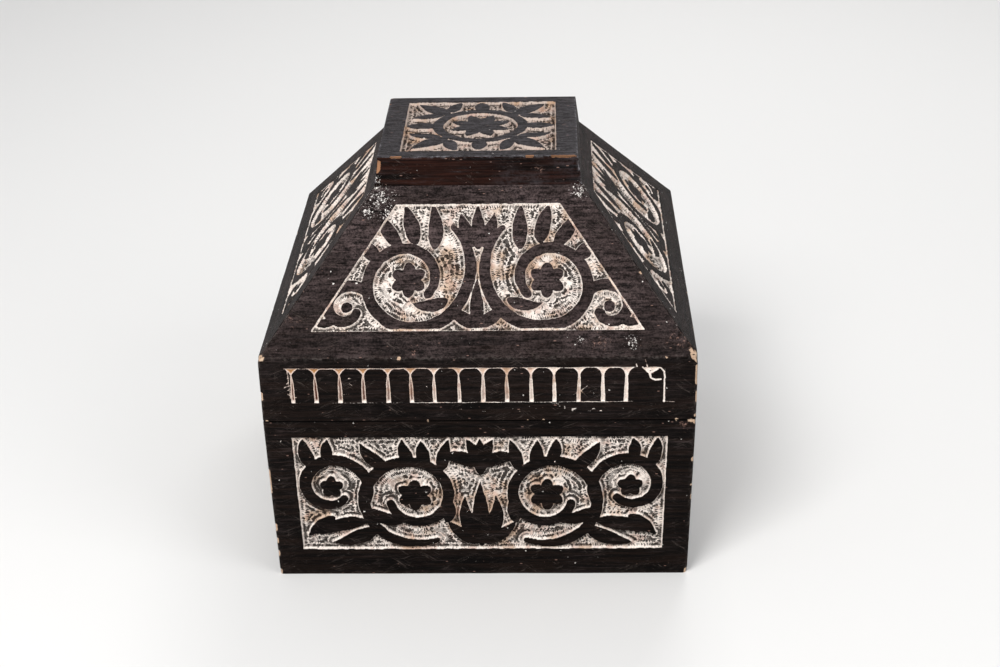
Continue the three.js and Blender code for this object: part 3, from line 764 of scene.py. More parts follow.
# %% Sizes of the arcade
ARCADE_PITCH = 15.3
ARCADE_END = 20.8       # plain wood at each end of the row
ARCADE_FOOT = 13.4      # above the rail's foot
ARCADE_HEIGHT = 25.0
ARCADE_SINK = 1.4
PILLAR_FOOT = 2.9       # a pillar's width at its foot and under its neck
PILLAR_NECK = 2.3
TAPER_START = 0.6       # share of a pillar's height up to which it stays wide
SPANDREL_LOW = 4.8      # height of the leftmost spandrel, growing to the right
SPANDREL_HIGH = 6.6
SLOPE_REACH = 3.9       # how far a straight-sided spandrel reaches from the pillar's middle
ARCH_REACH = 6.4        # the same for one whose sides are the shoulders of round arches
CROWN_AT = ARCADE_HEIGHT - 0.25
CROWN_LINE = 0.20       # half widths of the thin lines along the arcade's crown and foot
BASE_LINE = 0.16
BASE_FAINT = 0.14       # how much thinner the foot's line is towards the left,
BASE_CLEAR = 5          # up to this pillar

# %% Strokes cut by hand
LAST_BAY = [
    # strokes in the wide last bay of the front, as points in mm and widths
    ([(104.8, 24.8), (109.4, 21.0), (110.2, 17.2)], [0.8, 2.0, 1.1]),
    ([(107.0, 23.6), (113.6, 23.8)], [2.2, 2.4]),
    ([(111.0, 21.6), (114.6, 23.4)], [2.0, 1.0]),
    ([(110.6, 16.8), (113.2, 15.6), (116.6, 16.0)], [1.0, 1.4, 1.2]),
    ([(111.5, 24.6), (116.4, 24.2), (118.6, 21.6), (119.2, 17.0)], [0.8, 0.9, 1.1, 1.2]),
    ([(118.9, 0.9), (119.0, 0.2)], [1.5, 1.6]),
    ([(119.0, 0.0), (126.5, -0.4)], [0.35, 0.3]),
    ([(100.2, 28.6), (101.4, 25.2)], [0.5, 0.9]),
    ([(106.5, 30.2), (108.0, 25.0)], [0.5, 0.8]),
]
SCRATCHES = [
    ([(-121.5, 24.8), (-121.0, 13.0), (-120.6, 3.0)], [0.7, 0.5, 0.5]),
    ([(-122.4, 28.3), (-122.2, 27.6)], [1.1, 1.2]),
    ([(-124.9, 10.8), (-120.4, 12.9)], [0.7, 0.5]),
    ([(-124.6, 10.4), (-121.2, 15.4)], [0.4, 0.5]),
    ([(-123.4, 7.4), (-119.9, 4.8)], [0.7, 0.6]),
    ([(-123.0, 13.6), (-121.0, 15.0)], [0.5, 0.5]),
    ([(-122.6, 9.0), (-120.7, 9.9)], [0.4, 0.6]),
    ([(-122.2, 17.5), (-120.9, 18.4)], [0.4, 0.5]),
    ([(-117.6, 9.4), (-116.0, 9.6)], [0.5, 0.4]),
    ([(-117.3, 4.2), (-115.9, 4.4)], [0.5, 0.5]),
    ([(-86.6, 6.1), (-84.6, 6.3)], [0.5, 0.4]),
    ([(-82.4, 14.2), (-80.6, 12.9)], [0.4, 0.6]),
    ([(-82.6, 17.8), (-81.0, 17.8)], [0.7, 0.6]),
    ([(61.0, 5.2), (66.5, 8.6), (70.0, 11.6)], [0.3, 0.6, 0.3]),
    ([(66.2, 7.6), (68.4, 5.4)], [0.6, 0.3]),
    ([(50.0, -1.0), (58.0, -4.4), (74.0, -7.2)], [0.4, 0.5, 0.3]),
    ([(46.0, 0.0), (56.0, -5.2), (66.0, -8.6)], [0.3, 0.4, 0.3]),
    ([(73.0, -4.6), (79.0, -6.8)], [0.5, 0.9]),
    ([(90.0, -3.6), (96.0, -6.2)], [0.5, 0.5]),
    ([(30.0, -2.0), (43.0, -7.6)], [0.3, 0.4]),
    ([(18.0, -3.4), (30.0, -8.0)], [0.3, 0.4]),
    ([(-20.0, -4.0), (6.0, -7.0)], [0.3, 0.3]),
]


print("strokes in the last bay", len(LAST_BAY), "scratches", len(SCRATCHES))

# %% Arcade
def pillar_places(half):
    """The row is set out from the left at an even pitch, and what is left over goes to the last bay."""
    run = 2 * (half - ARCADE_END)
    bays = int(run // ARCADE_PITCH)
    return np.concatenate([-run / 2 + ARCADE_PITCH * np.arange(bays), [run / 2]])


def inside_strokes(u, height, drawn):
    """The largest depth inside any of a few strokes: the disc's radius less the distance to its centre."""
    best = np.full_like(u, -REACH)
    for points, widths in drawn:
        for x, y, radius, _ in stroke(np.array(points), widths):
            best = np.maximum(best, radius - np.hypot(u - x, height - y))
    return best


def pillar_hand(seed, count):
    """How the pillars of a row differ by hand and from the left end to the right: lean, thickness, shift,
    how round the arches are, how thick the necks, and how brown the bottoms of the grooves."""
    steady = np.random.default_rng(seed)
    along = np.linspace(0, 1, count)
    lean = steady.normal(0, 0.012, count)
    fat = steady.normal(1.0, 0.08, count) * (1.03 - 0.16 * along)
    fat[-1] = 0.42
    shift = steady.normal(0, 0.3, count)
    roundness = np.clip(0.45 + 0.55 * along + steady.normal(0, 0.08, count), 0, 1)
    neck = np.clip(0.28 + 0.5 * along + steady.normal(0, 0.08, count), 0.2, 1)
    brown = np.clip(1.05 - 1.15 * along + steady.normal(0, 0.10, count), 0.04, 1)
    return lean, fat, shift, roundness, neck, brown


def arcade(board, u, v, seed, drawn=()):
    """The nearest pillar's half width less the distance to its middle. A pillar is wide up to a share of its
    height and tapers to a pinched neck. Above that the spandrel's side is a blend of a straight slope and
    the shoulder of a round arch: its reach times 1 less the root of 1 less the square of the share of its
    height. Towards the right the arches get rounder and the necks thicker. The cut is a V."""
    places = pillar_places(board.foot["half"])
    lean, fat, shift, roundness, neck, brown = pillar_hand(seed, len(places))
    tall = SPANDREL_LOW + (SPANDREL_HIGH - SPANDREL_LOW) * np.linspace(0, 1, len(places))
    height = v - ARCADE_FOOT
    flat = on_face(u, v)
    wander = 0.14 * noise(flat, 2.6, seed + 2) + 0.18 * noise(flat, 9.0, seed + 3)
    offsets = [np.abs(u + wander - place - slide - tilt * (height - 12))
               for place, slide, tilt in zip(places, shift, lean)]
    nearest = np.argmin(offsets, axis=0)
    away = np.min(offsets, axis=0)
    spring = ARCADE_HEIGHT - tall[nearest]
    share = np.clip((height / spring - TAPER_START) / (1 - TAPER_START), 0, 1)
    width = PILLAR_FOOT + (PILLAR_NECK - PILLAR_FOOT) * height / spring
    width = width / 2 * fat[nearest] * (1 - (1 - neck[nearest]) * share ** 1.6)
    rise = np.clip((height - spring) / tall[nearest], 0, 1)
    shoulder = (1 - np.sqrt(1 - rise ** 2)) * ARCH_REACH
    flare = (1 - roundness[nearest]) * SLOPE_REACH * rise ** 1.2 + roundness[nearest] * shoulder
    in_last_bay = (nearest == len(places) - 1) & bool(drawn)
    width = width + np.where(in_last_bay, -0.2 * rise, flare)
    inside = np.minimum(width - away, np.minimum(height + wander, ARCADE_HEIGHT + wander - height))

    crown = CROWN_LINE * (1.0 + 1.3 * noise(flat, 5.0, seed + 4)) - np.abs(height - CROWN_AT - wander)
    base = BASE_LINE * (1.0 + 0.8 * noise(flat, 9.0, seed + 6)) - np.abs(height - wander)
    base = np.where(u > places[BASE_CLEAR], base, base - BASE_FAINT)
    in_row = np.minimum(u - places[0], places[-1] - u)
    if drawn:
        in_row = np.minimum(in_row, places[-2] + 4 - u)
    cut = np.maximum(inside, np.minimum(np.maximum(crown, base), in_row))
    if drawn:
        cut = np.maximum(cut, inside_strokes(u, height, drawn))
    depth = np.clip(cut * 1.05, 0, ARCADE_SINK) * (1 + 0.25 * noise(flat, 1.5, seed + 8))
    groove = 1 + brown[nearest] * smooth_step(height, 0.8, 2.6)
    return depth, on_face(v + 300.0 * nearest, cut, rise), groove

# %% [markdown]
# ### Assembly
# A board's face is the grid with its cut, its worn edges and a slight warp. Loops carry it round the edges.
# The attributes tell the finish where the cut, the wear, the inner wood, the dust with its painted sheen,
# and the worn arrises with their painted highlight are.

# %% Assembly of a board's mesh
# A loop's depth as a share of the board along the foot, how high it starts, and its depth elsewhere
REBATE = BOTTOM_REBATE / BOARD
LOOPS_WALL = [(REBATE, 0.0, 0.5), (REBATE, BOTTOM_SEAT, 0.66), (1.0, BOTTOM_SEAT, 1.0)]
LOOPS_PLAIN = [(1.0, 0.0, 1.0)]
WARP = 0.10             # mm that a face wanders to each side of a plane, which lies as far below the solid's
BOARD_SHIFT = np.array([401.0, 173.0, 57.0])    # keeps the grain of one board from going on in the next


def cut_attribute(face, extra):
    """Run, distance and rise for the face, and a distance well inside plain wood for later vertices."""
    return np.concatenate([face.reshape(-1, 3), np.tile([0.0, -REACH, 0.0], (extra, 1))])


def kind_attribute(inner, dust_and_sheen, groove):
    """1 on plain inner wood, how dusty the face is together with the sheen painted on it, and above 0 in the
    arcade, where the part over 1 says how brown the bottom of the groove is."""
    return on_face(inner, dust_and_sheen, np.append(groove, np.zeros(len(inner) - groove.size)))


def board_piece(name, board, quarter, columns, rows, decorate, loops, wears, arris_wear_and_light_strengths, dust_and_sheen, bed=None):
    """Makes the board's closed surface. decorate gives the depth, the cut's numbers and the groove. The
    wears and the strengths of the painted arris light are those of worn_face, and bed moves the points
    that lie in a hinge bed."""
    column, v = np.meshgrid(columns, rows)
    u = board.along(column, v)
    cut, cut_numbers, groove = decorate(board, u, v)
    worn_u, worn_depth, bare, arris_wear_and_light = worn_face(board, u, v, quarter, wears, arris_wear_and_light_strengths)
    warp = WARP * noise(on_face(u, v), 60.0, 70 + quarter) + WARP
    face = board.point(worn_u, v) - board.out * (cut + worn_depth + warp)[..., None]
    if bed is not None:
        face = bed(face, u, v, 0.0)
    shell = Shell(face, on_face(u, v))
    rim_u, rim_v = u.ravel()[shell.rim], v.ravel()[shell.rim]
    for deep_foot, seat, deep_rest in loops:
        deep = np.where(rim_v <= 0, deep_foot, deep_rest)
        loop_v = seat + rim_v * (board.height - seat) / board.height
        inner_half = board.at("half", loop_v) - deep * board.at("half_in", loop_v)
        loop_u = rim_u / board.at("half", rim_v) * inner_half
        ring = board.point(loop_u, loop_v, deep)
        if bed is not None:
            ring = bed(ring, loop_u, loop_v, deep * BOARD)
        shell.loop(ring, on_face(loop_u, loop_v, deep * BOARD))
    centre_v = board.height / 2
    shell.close(board.point(0.0, centre_v, 1.0), (0.0, centre_v, BOARD))

    vertices = turned(shell.joined_points(), quarter)
    places = shell.joined_places()
    extra = shell.count - u.size
    # Dust and painted sheen, growing towards the head of the board.
    dust_and_sheen_amount = dust_and_sheen * (0.70 + 0.75 * places[:, 1] / board.height)
    piece = make_mesh(name, vertices, shell.faces, {
        "board": places + BOARD_SHIFT * (quarter + 1),
        "cut": cut_attribute(cut_numbers, extra),
        "wear": wear_attribute(np.append(bare, np.zeros(extra)), vertices),
        "kind": kind_attribute(np.append(np.zeros(u.size), np.ones(extra)), dust_and_sheen_amount, groove),
        "arris_wear_and_light": np.append(arris_wear_and_light, np.zeros(extra)),
    }, smooth_faces=len(shell.faces[0]))
    print(name, "faces", len(piece.data.polygons))
    return piece

# %% [markdown]
# ## Hinge beds
# The two butt hinges lie in shallow beds in the rim of the back wall and in the foot of the back rail. The
# grid lines are placed on the ends of the beds, and the points inside them are moved down to the bed's floor.

# %% Hinge beds
LEAF_LOW, LEAF_HIGH = box_mm("hinge_leaf_case_left")
HINGE_MIDDLE = -(LEAF_LOW[0] + LEAF_HIGH[0]) / 2
LEAF_HALF = (LEAF_HIGH[0] - LEAF_LOW[0]) / 2
HINGE_HALF = LEAF_HALF + 0.25       # a bed is a little larger than its leaf
BED_REACH = HALF_DEPTH - LEAF_LOW[1] + 0.3
BED_DEPTH = 1.7
BED_EASE = 5.0          # height over which the rows by a bed are moved too
HAIR = 0.02             # mm between two lines that make a step


def bed_mask(u):
    """1 in the two beds along the board, and 0 elsewhere."""
    return (np.abs(np.abs(u) - HINGE_MIDDLE) < HINGE_HALF).astype(float)


def rim_bed(points, u, v, deep):
    """Lowers the wall's rim in the beds, easing the rows below it down as well so that none cross."""
    near = smooth_step(v, CASE_HEIGHT - BED_EASE, CASE_HEIGHT - 0.5)
    points[..., 2] -= BED_DEPTH * bed_mask(u) * near * (deep < BED_REACH)
    return points


def foot_bed(points, u, v, deep):
    """Raises the rail's foot in the beds in the same way."""
    near = 1 - smooth_step(v, 0.5, BED_EASE)
    points[..., 2] += BED_DEPTH * bed_mask(u) * near * (deep < BED_REACH)
    return points


def bed_columns(half, side):
    """Column numbers at both ends of both beds, a hair inside and outside them."""
    ends = [HINGE_MIDDLE + sign * HINGE_HALF + hair for sign in (-1, 1) for hair in (-0.03, 0.03)]
    return [sign * end / (half - side) for sign in (-1, 1) for end in ends]


bed_shares = [(BED_REACH + step) / BOARD for step in (-HAIR, HAIR)]
LOOPS_BED = [(share, 0.0, share) for share in bed_shares]
print("hinges", round(HINGE_MIDDLE, 1), "mm from the middle, beds", round(2 * HINGE_HALF, 1), "mm long")

# %% [markdown]
# ## Walls, rails and roof boards
# The same builder makes all twelve mitred boards. Only their levels, their carving and their edges differ.

# %% Walls
SEAM_WEAR = 0.55        # the arrises at the seam are sharper
SEAM_PAINTED_SHADE = -0.5         # less than 0: painted shade darkens the stain along the seam, in place of a worn, highlighted line
WALL_DUST_AND_SHEEN = 0.02       # how much dust and painted sheen dull the stain
BAND_DUST_AND_SHEEN = 0.08
# Dust and painted sheen on the roof boards: the sheen is painted strongest on the front slope and weakest on
# the sides.
ROOF_DUST_AND_SHEEN = dict(front=0.80, right=0.30, back=0.55, left=0.35)
wall_foot = level(0, HALF_WIDTH - CASE_LEAN, HALF_DEPTH - CASE_LEAN, BOARD, BOARD)
wall_head = level(CASE_HEIGHT, HALF_WIDTH, HALF_DEPTH, BOARD, BOARD)
wall = Board(wall_foot, wall_head, CASE_FRAME)
boards = {}
for side, quarter in SIDES.items():
    is_back = side == "back"
    extra = bed_columns(HALF_WIDTH - MITRE_TRIM, CASE_FRAME["side"]) if is_back else ()
    boards["wall_" + side] = board_piece(
        "carved_wall_" + side, wall, quarter,
        level_lines(HALF_WIDTH, CASE_FRAME, extra=extra), upright_lines(wall.height, CASE_FRAME),
        lambda board, u, v: carve(board, u, v, "case", quarter),
        LOOPS_WALL[:2] + LOOPS_BED + LOOPS_WALL[2:] if is_back else LOOPS_WALL,
        wears=(1.0, 0.6, SEAM_WEAR), arris_wear_and_light_strengths=(1.0, 0.4, SEAM_PAINTED_SHADE), dust_and_sheen=WALL_DUST_AND_SHEEN,
        bed=rim_bed if is_back else None)

# %% Rails
RAIL_FRAME = dict(side=ARCADE_END - 3, foot=ARCADE_FOOT - 1.5,
                  head=EAVE - BAND_FOOT - ARCADE_FOOT - ARCADE_HEIGHT - 1.5)
RAIL_CELL = 0.47
LINE_ROWS = np.arange(-0.75, 0.76, 0.15)     # close rows about the thin lines at the arcade's foot and crown


def with_rows(rows, extra):
    """The rows with extra ones among them, less those that lie too close to one of the extra rows."""
    clear = np.abs(rows[:, None] - extra[None, :]).min(axis=1) > 0.1
    return np.sort(np.concatenate([rows[clear], extra]))


rail_rows = np.concatenate([ARCADE_FOOT + LINE_ROWS, ARCADE_FOOT + CROWN_AT + LINE_ROWS])
rail = Board(level(BAND_FOOT, HALF_WIDTH, HALF_DEPTH, RAIL, RAIL),
             level(EAVE, HALF_WIDTH, HALF_DEPTH, RAIL, RAIL), RAIL_FRAME)
for side, quarter in SIDES.items():
    is_back = side == "back"
    extra = bed_columns(HALF_WIDTH - MITRE_TRIM, RAIL_FRAME["side"]) if is_back else ()
    drawn = LAST_BAY + SCRATCHES if side == "front" else ()
    boards["band_" + side] = board_piece(
        "carved_band_" + side, rail, quarter,
        level_lines(HALF_WIDTH, RAIL_FRAME, RAIL_CELL, extra),
        with_rows(upright_lines(rail.height, RAIL_FRAME, RAIL_CELL), rail_rows),
        lambda board, u, v: arcade(board, u, v, SEEDS["band"] + SEED_STEP * quarter, drawn),
        LOOPS_BED + LOOPS_PLAIN if is_back else LOOPS_PLAIN,
        wears=(1.0, SEAM_WEAR, 0.8), arris_wear_and_light_strengths=(1.0, SEAM_PAINTED_SHADE, 0.8), dust_and_sheen=BAND_DUST_AND_SHEEN,
        bed=foot_bed if is_back else None)

# %% Roof boards
HIP_WEAR = 1.33         # wear is measured along the face, and the hip is blunter than a right angle
ROOF_SEAT = EAVE + 0.02


def level_thickness(run):
    """How far in the inner face of a sloping board lies, measured level."""
    rise = ROOF_HEAD - ROOF_FOOT
    return BOARD * math.hypot(run, rise) / rise


for side, quarter in SIDES.items():
    lengthwise = quarter % 2
    half_foot = (HALF_WIDTH, HALF_DEPTH)[lengthwise]
    reach_foot = (HALF_DEPTH, HALF_WIDTH)[lengthwise]
    half_head, reach_head = CAP_HALF[lengthwise], CAP_HALF[1 - lengthwise]
    half_in = level_thickness(half_foot - half_head)
    reach_in = level_thickness(reach_foot - reach_head)
    slope = Board(level(ROOF_SEAT, half_foot, reach_foot, half_in, reach_in),
                  level(ROOF_HEAD, half_head, reach_head, half_in, reach_in), ROOF_FRAME)
    boards["roof_" + side] = board_piece(
        "carved_roof_" + side, slope, quarter,
        level_lines(half_foot - ROOF_FRAME["foot"] * 0.6, ROOF_FRAME),
        upright_lines(slope.height, ROOF_FRAME),
        lambda board, u, v: carve(board, u, v, "roof", quarter),
        LOOPS_PLAIN, wears=(HIP_WEAR, 0.8, 0.0), arris_wear_and_light_strengths=(1.0, 0.8, 0.0), dust_and_sheen=ROOF_DUST_AND_SHEEN[side])

# %% [markdown]
# ## The block on top
# The block is one piece of wood: a carved top, four faces that flare slightly, and a tongue below that sits
# in the roof's opening. Its top is a grid like a board's, and the rim is carried down the faces in close
# loops, so that the chipped corners have something to bend.

# %% Block
CAP_TOP = CAP_HIGH[2]
CAP_FOOT = ROOF_HEAD + 0.05
CAP_DROPS = np.concatenate([[0.35, 0.8, 1.4, 2.2], spread(3.2, CAP_TOP - CAP_FOOT - 1.2, 1.2),
                            [CAP_TOP - CAP_FOOT - 0.5, CAP_TOP - CAP_FOOT]])
CAP_CELL = 0.5
CAP_SHIFT = 2300.0      # keeps the block's grain apart from the boards'
CAP_DUST_AND_SHEEN = 2.0         # dust and painted sheen on the block's top, where it is clipped to full
SIDE_DUST_AND_SHEEN = 0.9        # dust and painted sheen on the part of its sides where they gather most
CAP_ARRIS_WEAR_AND_LIGHT = 2.2           # a thin bright highlight line is painted along its worn arrises
CAP_ARRIS_WEAR_AND_LIGHT_REACH = 0.4


def cap_surface(top_half):
    """The carved top: points, places, the cut's numbers, the groove, bareness and distance to the arris.
    Its height is the block's top less the cut, the wear of the arris and the warp of a board."""
    u, v = np.meshgrid(lines_across(top_half[0], CAP_FRAME["side"], CAP_CELL),
                       lines_across(top_half[1], CAP_FRAME["foot"], CAP_CELL))
    length = top_half[0] + MITRE_TRIM
    top = Board(level(0, length, 0, 0, 0), level(2 * top_half[1], length, 0, 0, 0), CAP_FRAME)
    cut, cut_numbers, groove = carve(top, u, v + top_half[1], "cap")
    to_side, to_end = top_half[0] - np.abs(u), top_half[1] - np.abs(v)
    edge = np.minimum(to_side, to_end)
    arris = on_face(np.sign(u) * np.where(to_side <= edge, top_half[0], np.abs(u)),
                    np.sign(v) * np.where(to_end <= edge, top_half[1], np.abs(v)), CAP_TOP)
    worn, bareness = wear_at(arris)
    bare = bareness * smooth_step(-edge, -2.6 * worn.max() - 0.4, -0.3)
    surface = on_face(u, v, CAP_TOP - (cut + wear_profile(edge, worn)) - WARP)
    return surface, on_face(u, v), cut_numbers, groove, bare, edge


def cap_side(rim, top_half, drop):
    """The loop at a drop below the top, drawn in at the worn arris and corners, its bareness, and how far
    its points are from the nearest arris."""
    at = at_height(rim * (1 + CAP_LEAN * drop / (CAP_TOP - CAP_FOOT) / top_half), CAP_TOP - drop)
    upright = at_height(np.sign(rim) * top_half, CAP_TOP - drop)
    to_corner = (top_half - np.abs(rim)).sum(axis=1)
    back, bare = np.zeros((2, len(at)))
    for arris, distance in ((at_height(rim, CAP_TOP), drop), (upright, to_corner)):
        worn, bareness = wear_at(arris)
        back = np.maximum(back, wear_profile(distance, worn))
        bare = np.maximum(bare, bareness * bare_near(distance, worn))
    at[:, :2] *= 1 - back[:, None] / top_half
    return at, bare, np.minimum(drop, to_corner)


def cap_piece():
    """The carved top, its rim carried down the faces in loops, and the tongue below."""
    top_half = CAP_HALF - CAP_LEAN
    surface, places, cut_numbers, groove, bare, edge = cap_surface(top_half)
    shell = Shell(surface, places)
    on_top = shell.count
    rim = places.reshape(-1, 3)[shell.rim, :2]
    bares, edges = [bare.ravel()], [edge.ravel()]
    for drop in CAP_DROPS:
        at, bare, edge = cap_side(rim, top_half, drop)
        shell.loop(at, np.stack([at[:, 0] + 0.6 * at[:, 1], at[:, 2], at[:, 1]], axis=-1))
        bares.append(bare)
        edges.append(edge)
    outside = shell.count
    smooth_faces = sum(len(group) for group in shell.faces)
    roof_in = np.array([level_thickness(HALF_WIDTH - CAP_HALF[0]), level_thickness(HALF_DEPTH - CAP_HALF[1])])
    for z in (CAP_FOOT, CAP_LOW[2]):
        shell.loop(at_height(rim / top_half * (CAP_HALF - TONGUE_CLEAR - roof_in), z))
    shell.close((0.0, 0.0, CAP_LOW[2]))

    vertices = shell.joined_points()
    within = np.zeros(shell.count - outside)
    kind = kind_attribute((np.arange(shell.count) >= outside).astype(float), CAP_DUST_AND_SHEEN, groove)
    sides = vertices[on_top:outside]
    # Dust and painted sheen on the block's sides grow towards their foot and to the right, with a noise.
    dust_and_sheen_amount = (CAP_TOP - sides[:, 2]) / (CAP_TOP - CAP_FOOT) + 0.012 * sides[:, 0] + 0.9 * noise(sides, 18.0, 57)
    kind[on_top:outside, 1] = SIDE_DUST_AND_SHEEN * smooth_step(dust_and_sheen_amount, 0.5, 1.9)
    return make_mesh("carved_cap_block", vertices, shell.faces, {
        "board": shell.joined_places() + CAP_SHIFT,
        "cut": cut_attribute(cut_numbers, shell.count - on_top),
        "wear": wear_attribute(np.concatenate([*bares, within]), vertices),
        "kind": kind,
        # The arris light: a thin highlight painted along the block's worn arrises.
        "arris_wear_and_light": np.append(CAP_ARRIS_WEAR_AND_LIGHT * np.exp(-np.concatenate(edges) / CAP_ARRIS_WEAR_AND_LIGHT_REACH), within),
    }, smooth_faces=smooth_faces)


boards["cap_block"] = cap_piece()
print("block faces", len(boards["cap_block"].data.polygons))

# %% [markdown]
# ## Hinges and screws
# A leaf is a plate with two countersunk holes, tabs, and knuckles with a bore. Half a plate is a ring of
# loops round its hole, and the other half is its mirror image, joined along the middle line. Knuckles, pins
# and screws are turned shapes, and a slot is cut across each screw's head.

# %% Sizes of the hinges
AXIS = np.array(frame["record"]["behaviour"]["joints"][0]["pos_m"]) / MM
PLATE = 1.4             # thickness of a leaf
BEVEL = 0.14            # on the edges of leaves and knuckles
KNUCKLE_RADIUS = LEAF_HIGH[1] - AXIS[1]
KNUCKLES = 3
KNUCKLE_GAP = 0.3
PIN_RADIUS = 1.1
PIN_HEAD = 1.9
PIN_HEAD_HEIGHT = 0.9
SCREW_HEAD = 2.3
SCREW_SHANK = 1.1
SCREW_CONE = 1.2
SLOT_HALF = 0.27
SLOT_DEPTH = 0.6
TURNS = 48              # points round a turned shape
HOLE_PLAY = 0.2         # between a screw and its hole
SHARP = 32              # degrees between two faces that make a sharp edge
print("hinge axis in mm", np.round(AXIS, 2).tolist())

# %% Turned and mirrored shapes
def mirrored_shape(shape, axis, about):
    """The mirror image of a shape, with its faces turned round so that they still face outwards."""
    vertices, faces = shape
    vertices = vertices.copy()
    vertices[:, axis] = 2 * about - vertices[:, axis]
    return vertices, [group[:, ::-1] for group in faces]


def joined(shapes):
    """Several shapes as one, with vertices at the same place made one."""
    starts = np.cumsum([0] + [len(vertices) for vertices, _ in shapes])
    faces = [group + start for (_, groups), start in zip(shapes, starts) for group in groups]
    together = np.round(np.concatenate([vertices for vertices, _ in shapes]), 5)
    vertices, place = np.unique(together, axis=0, return_inverse=True)
    return vertices, [place.reshape(-1)[group] for group in faces]


def turned_rod(profile, closed, start):
    """A profile of radii and lengths turned about the hinge's axis, beginning at start along X. A closed
    profile makes a ring with a bore, an open one gets a flat end at both sides."""
    radii, lengths = np.array(profile, float).T
    angle = np.arange(TURNS) * 2 * np.pi / TURNS
    rings = on_face(start + lengths[:, None], AXIS[1] + radii[:, None] * np.cos(angle),
                    AXIS[2] + radii[:, None] * np.sin(angle))
    index = np.arange(len(radii) * TURNS).reshape(len(radii), TURNS)
    last = np.roll(index, -1, axis=0) if closed else index[1:]
    first = index[:len(last)]
    faces = [np.stack([first, np.roll(first, -1, 1), np.roll(last, -1, 1), last], axis=-1).reshape(-1, 4)]
    if not closed:
        faces += [index[:1, ::-1], index[-1:]]
    return rings.reshape(-1, 3), faces

# %% Leaves
def half_plate(middle, end, inner, outer, low, high, hole):
    """Loops from the plate's outline over its face and down through the hole, round angles that include
    the outline's corners. The side on the middle line stays open."""
    corners = [math.atan2(y - hole[1], x - hole[0]) for x in (middle, end) for y in (inner, outer)]
    even = np.linspace(-np.pi, np.pi, TURNS, endpoint=False)
    angle = np.unique(np.round(np.concatenate([even, corners]), 9))
    across, up = np.cos(angle), np.sin(angle)

    def loop_at(reach, z):
        return on_face(hole[0] + reach * across, hole[1] + reach * up, z)

    def outline(inset, z):
        """The outline drawn in by a bevel, but not along the middle line."""
        side = end - inset * np.sign(end - middle)
        right, left = max(side, middle) - hole[0], hole[0] - min(side, middle)
        far, near = outer - inset - hole[1], hole[1] - inner - inset
        reach = 1 / np.maximum(np.maximum(across / right, -across / left), np.maximum(up / far, -up / near))
        return loop_at(reach, z)

    narrow = SCREW_SHANK + HOLE_PLAY
    loops = [outline(BEVEL, low), outline(0, low + BEVEL), outline(0, high - BEVEL), outline(BEVEL, high),
             loop_at(SCREW_HEAD + 0.25, high), loop_at(narrow, low + 0.2), loop_at(narrow, low)]
    index = np.arange(len(loops) * len(angle)).reshape(len(loops), len(angle))
    first, last = index, np.roll(index, -1, axis=0)
    faces = np.stack([first, np.roll(first, -1, 1), np.roll(last, -1, 1), last], axis=-1)
    on_middle = np.abs(np.concatenate(loops)[:, 0] - middle) < 1e-6
    open_side = on_middle[faces].all(axis=-1)
    return np.concatenate(loops), [faces[~open_side]]


def box_shape(low, high):
    """A box between two corners."""
    corners = np.array([[x, y, z] for z in (low[2], high[2]) for y in (low[1], high[1])
                        for x in (low[0], high[0])])
    faces = [[0, 2, 3, 1], [4, 5, 7, 6], [0, 1, 5, 4], [2, 6, 7, 3], [0, 4, 6, 2], [1, 3, 7, 5]]
    return corners, [np.array(faces)]


def hinge_leaf(middle, holes, upper):
    """A leaf in its bed. It is made as the case's leaf, whose plate lies below its face. The lid's has the
    mirror image of that plate, and the knuckle that the other two leave free."""
    face = BAND_FOOT if upper else CASE_HEIGHT
    right = half_plate(middle, middle + LEAF_HALF, LEAF_LOW[1], HALF_DEPTH, face - PLATE, face, holes[1])
    length = (2 * LEAF_HALF - (KNUCKLES - 1) * KNUCKLE_GAP) / KNUCKLES
    bore = PIN_RADIUS + 0.15
    ring = [(bore, 0), (KNUCKLE_RADIUS - BEVEL, 0), (KNUCKLE_RADIUS, BEVEL), (KNUCKLE_RADIUS, length - BEVEL),
            (KNUCKLE_RADIUS - BEVEL, length), (bore, length)]
    plates = [joined([right, mirrored_shape(right, 0, middle)])]
    knuckles = []
    for index in range(1 if upper else 0, KNUCKLES, 2):
        start = middle - LEAF_HALF + index * (length + KNUCKLE_GAP)
        plates.append(box_shape((start, HALF_DEPTH - PLATE, face - PLATE + HAIR),
                                (start + length, AXIS[1] - 2.0, face - HAIR)))
        knuckles.append(turned_rod(ring, True, start))
    if upper:
        plates = [mirrored_shape(plate, 2, face) for plate in plates]
    return joined(plates + knuckles)

# %% Pins and screws
def pin(middle):
    """A rod with a low dome at each end: the dome's radius is the head's times the cosine of an angle, and
    its height the head's height times the sine."""
    half = LEAF_HALF + KNUCKLE_GAP
    lift = np.linspace(0.0, np.pi / 2 - 0.06, 9)
    dome = np.stack([PIN_HEAD * np.cos(lift), half + PIN_HEAD_HEIGHT * np.sin(lift)], axis=-1)
    low = dome[::-1] * (1, -1)
    return turned_rod(np.concatenate([low, [(PIN_RADIUS, -half), (PIN_RADIUS, half)], dome]), False, middle)


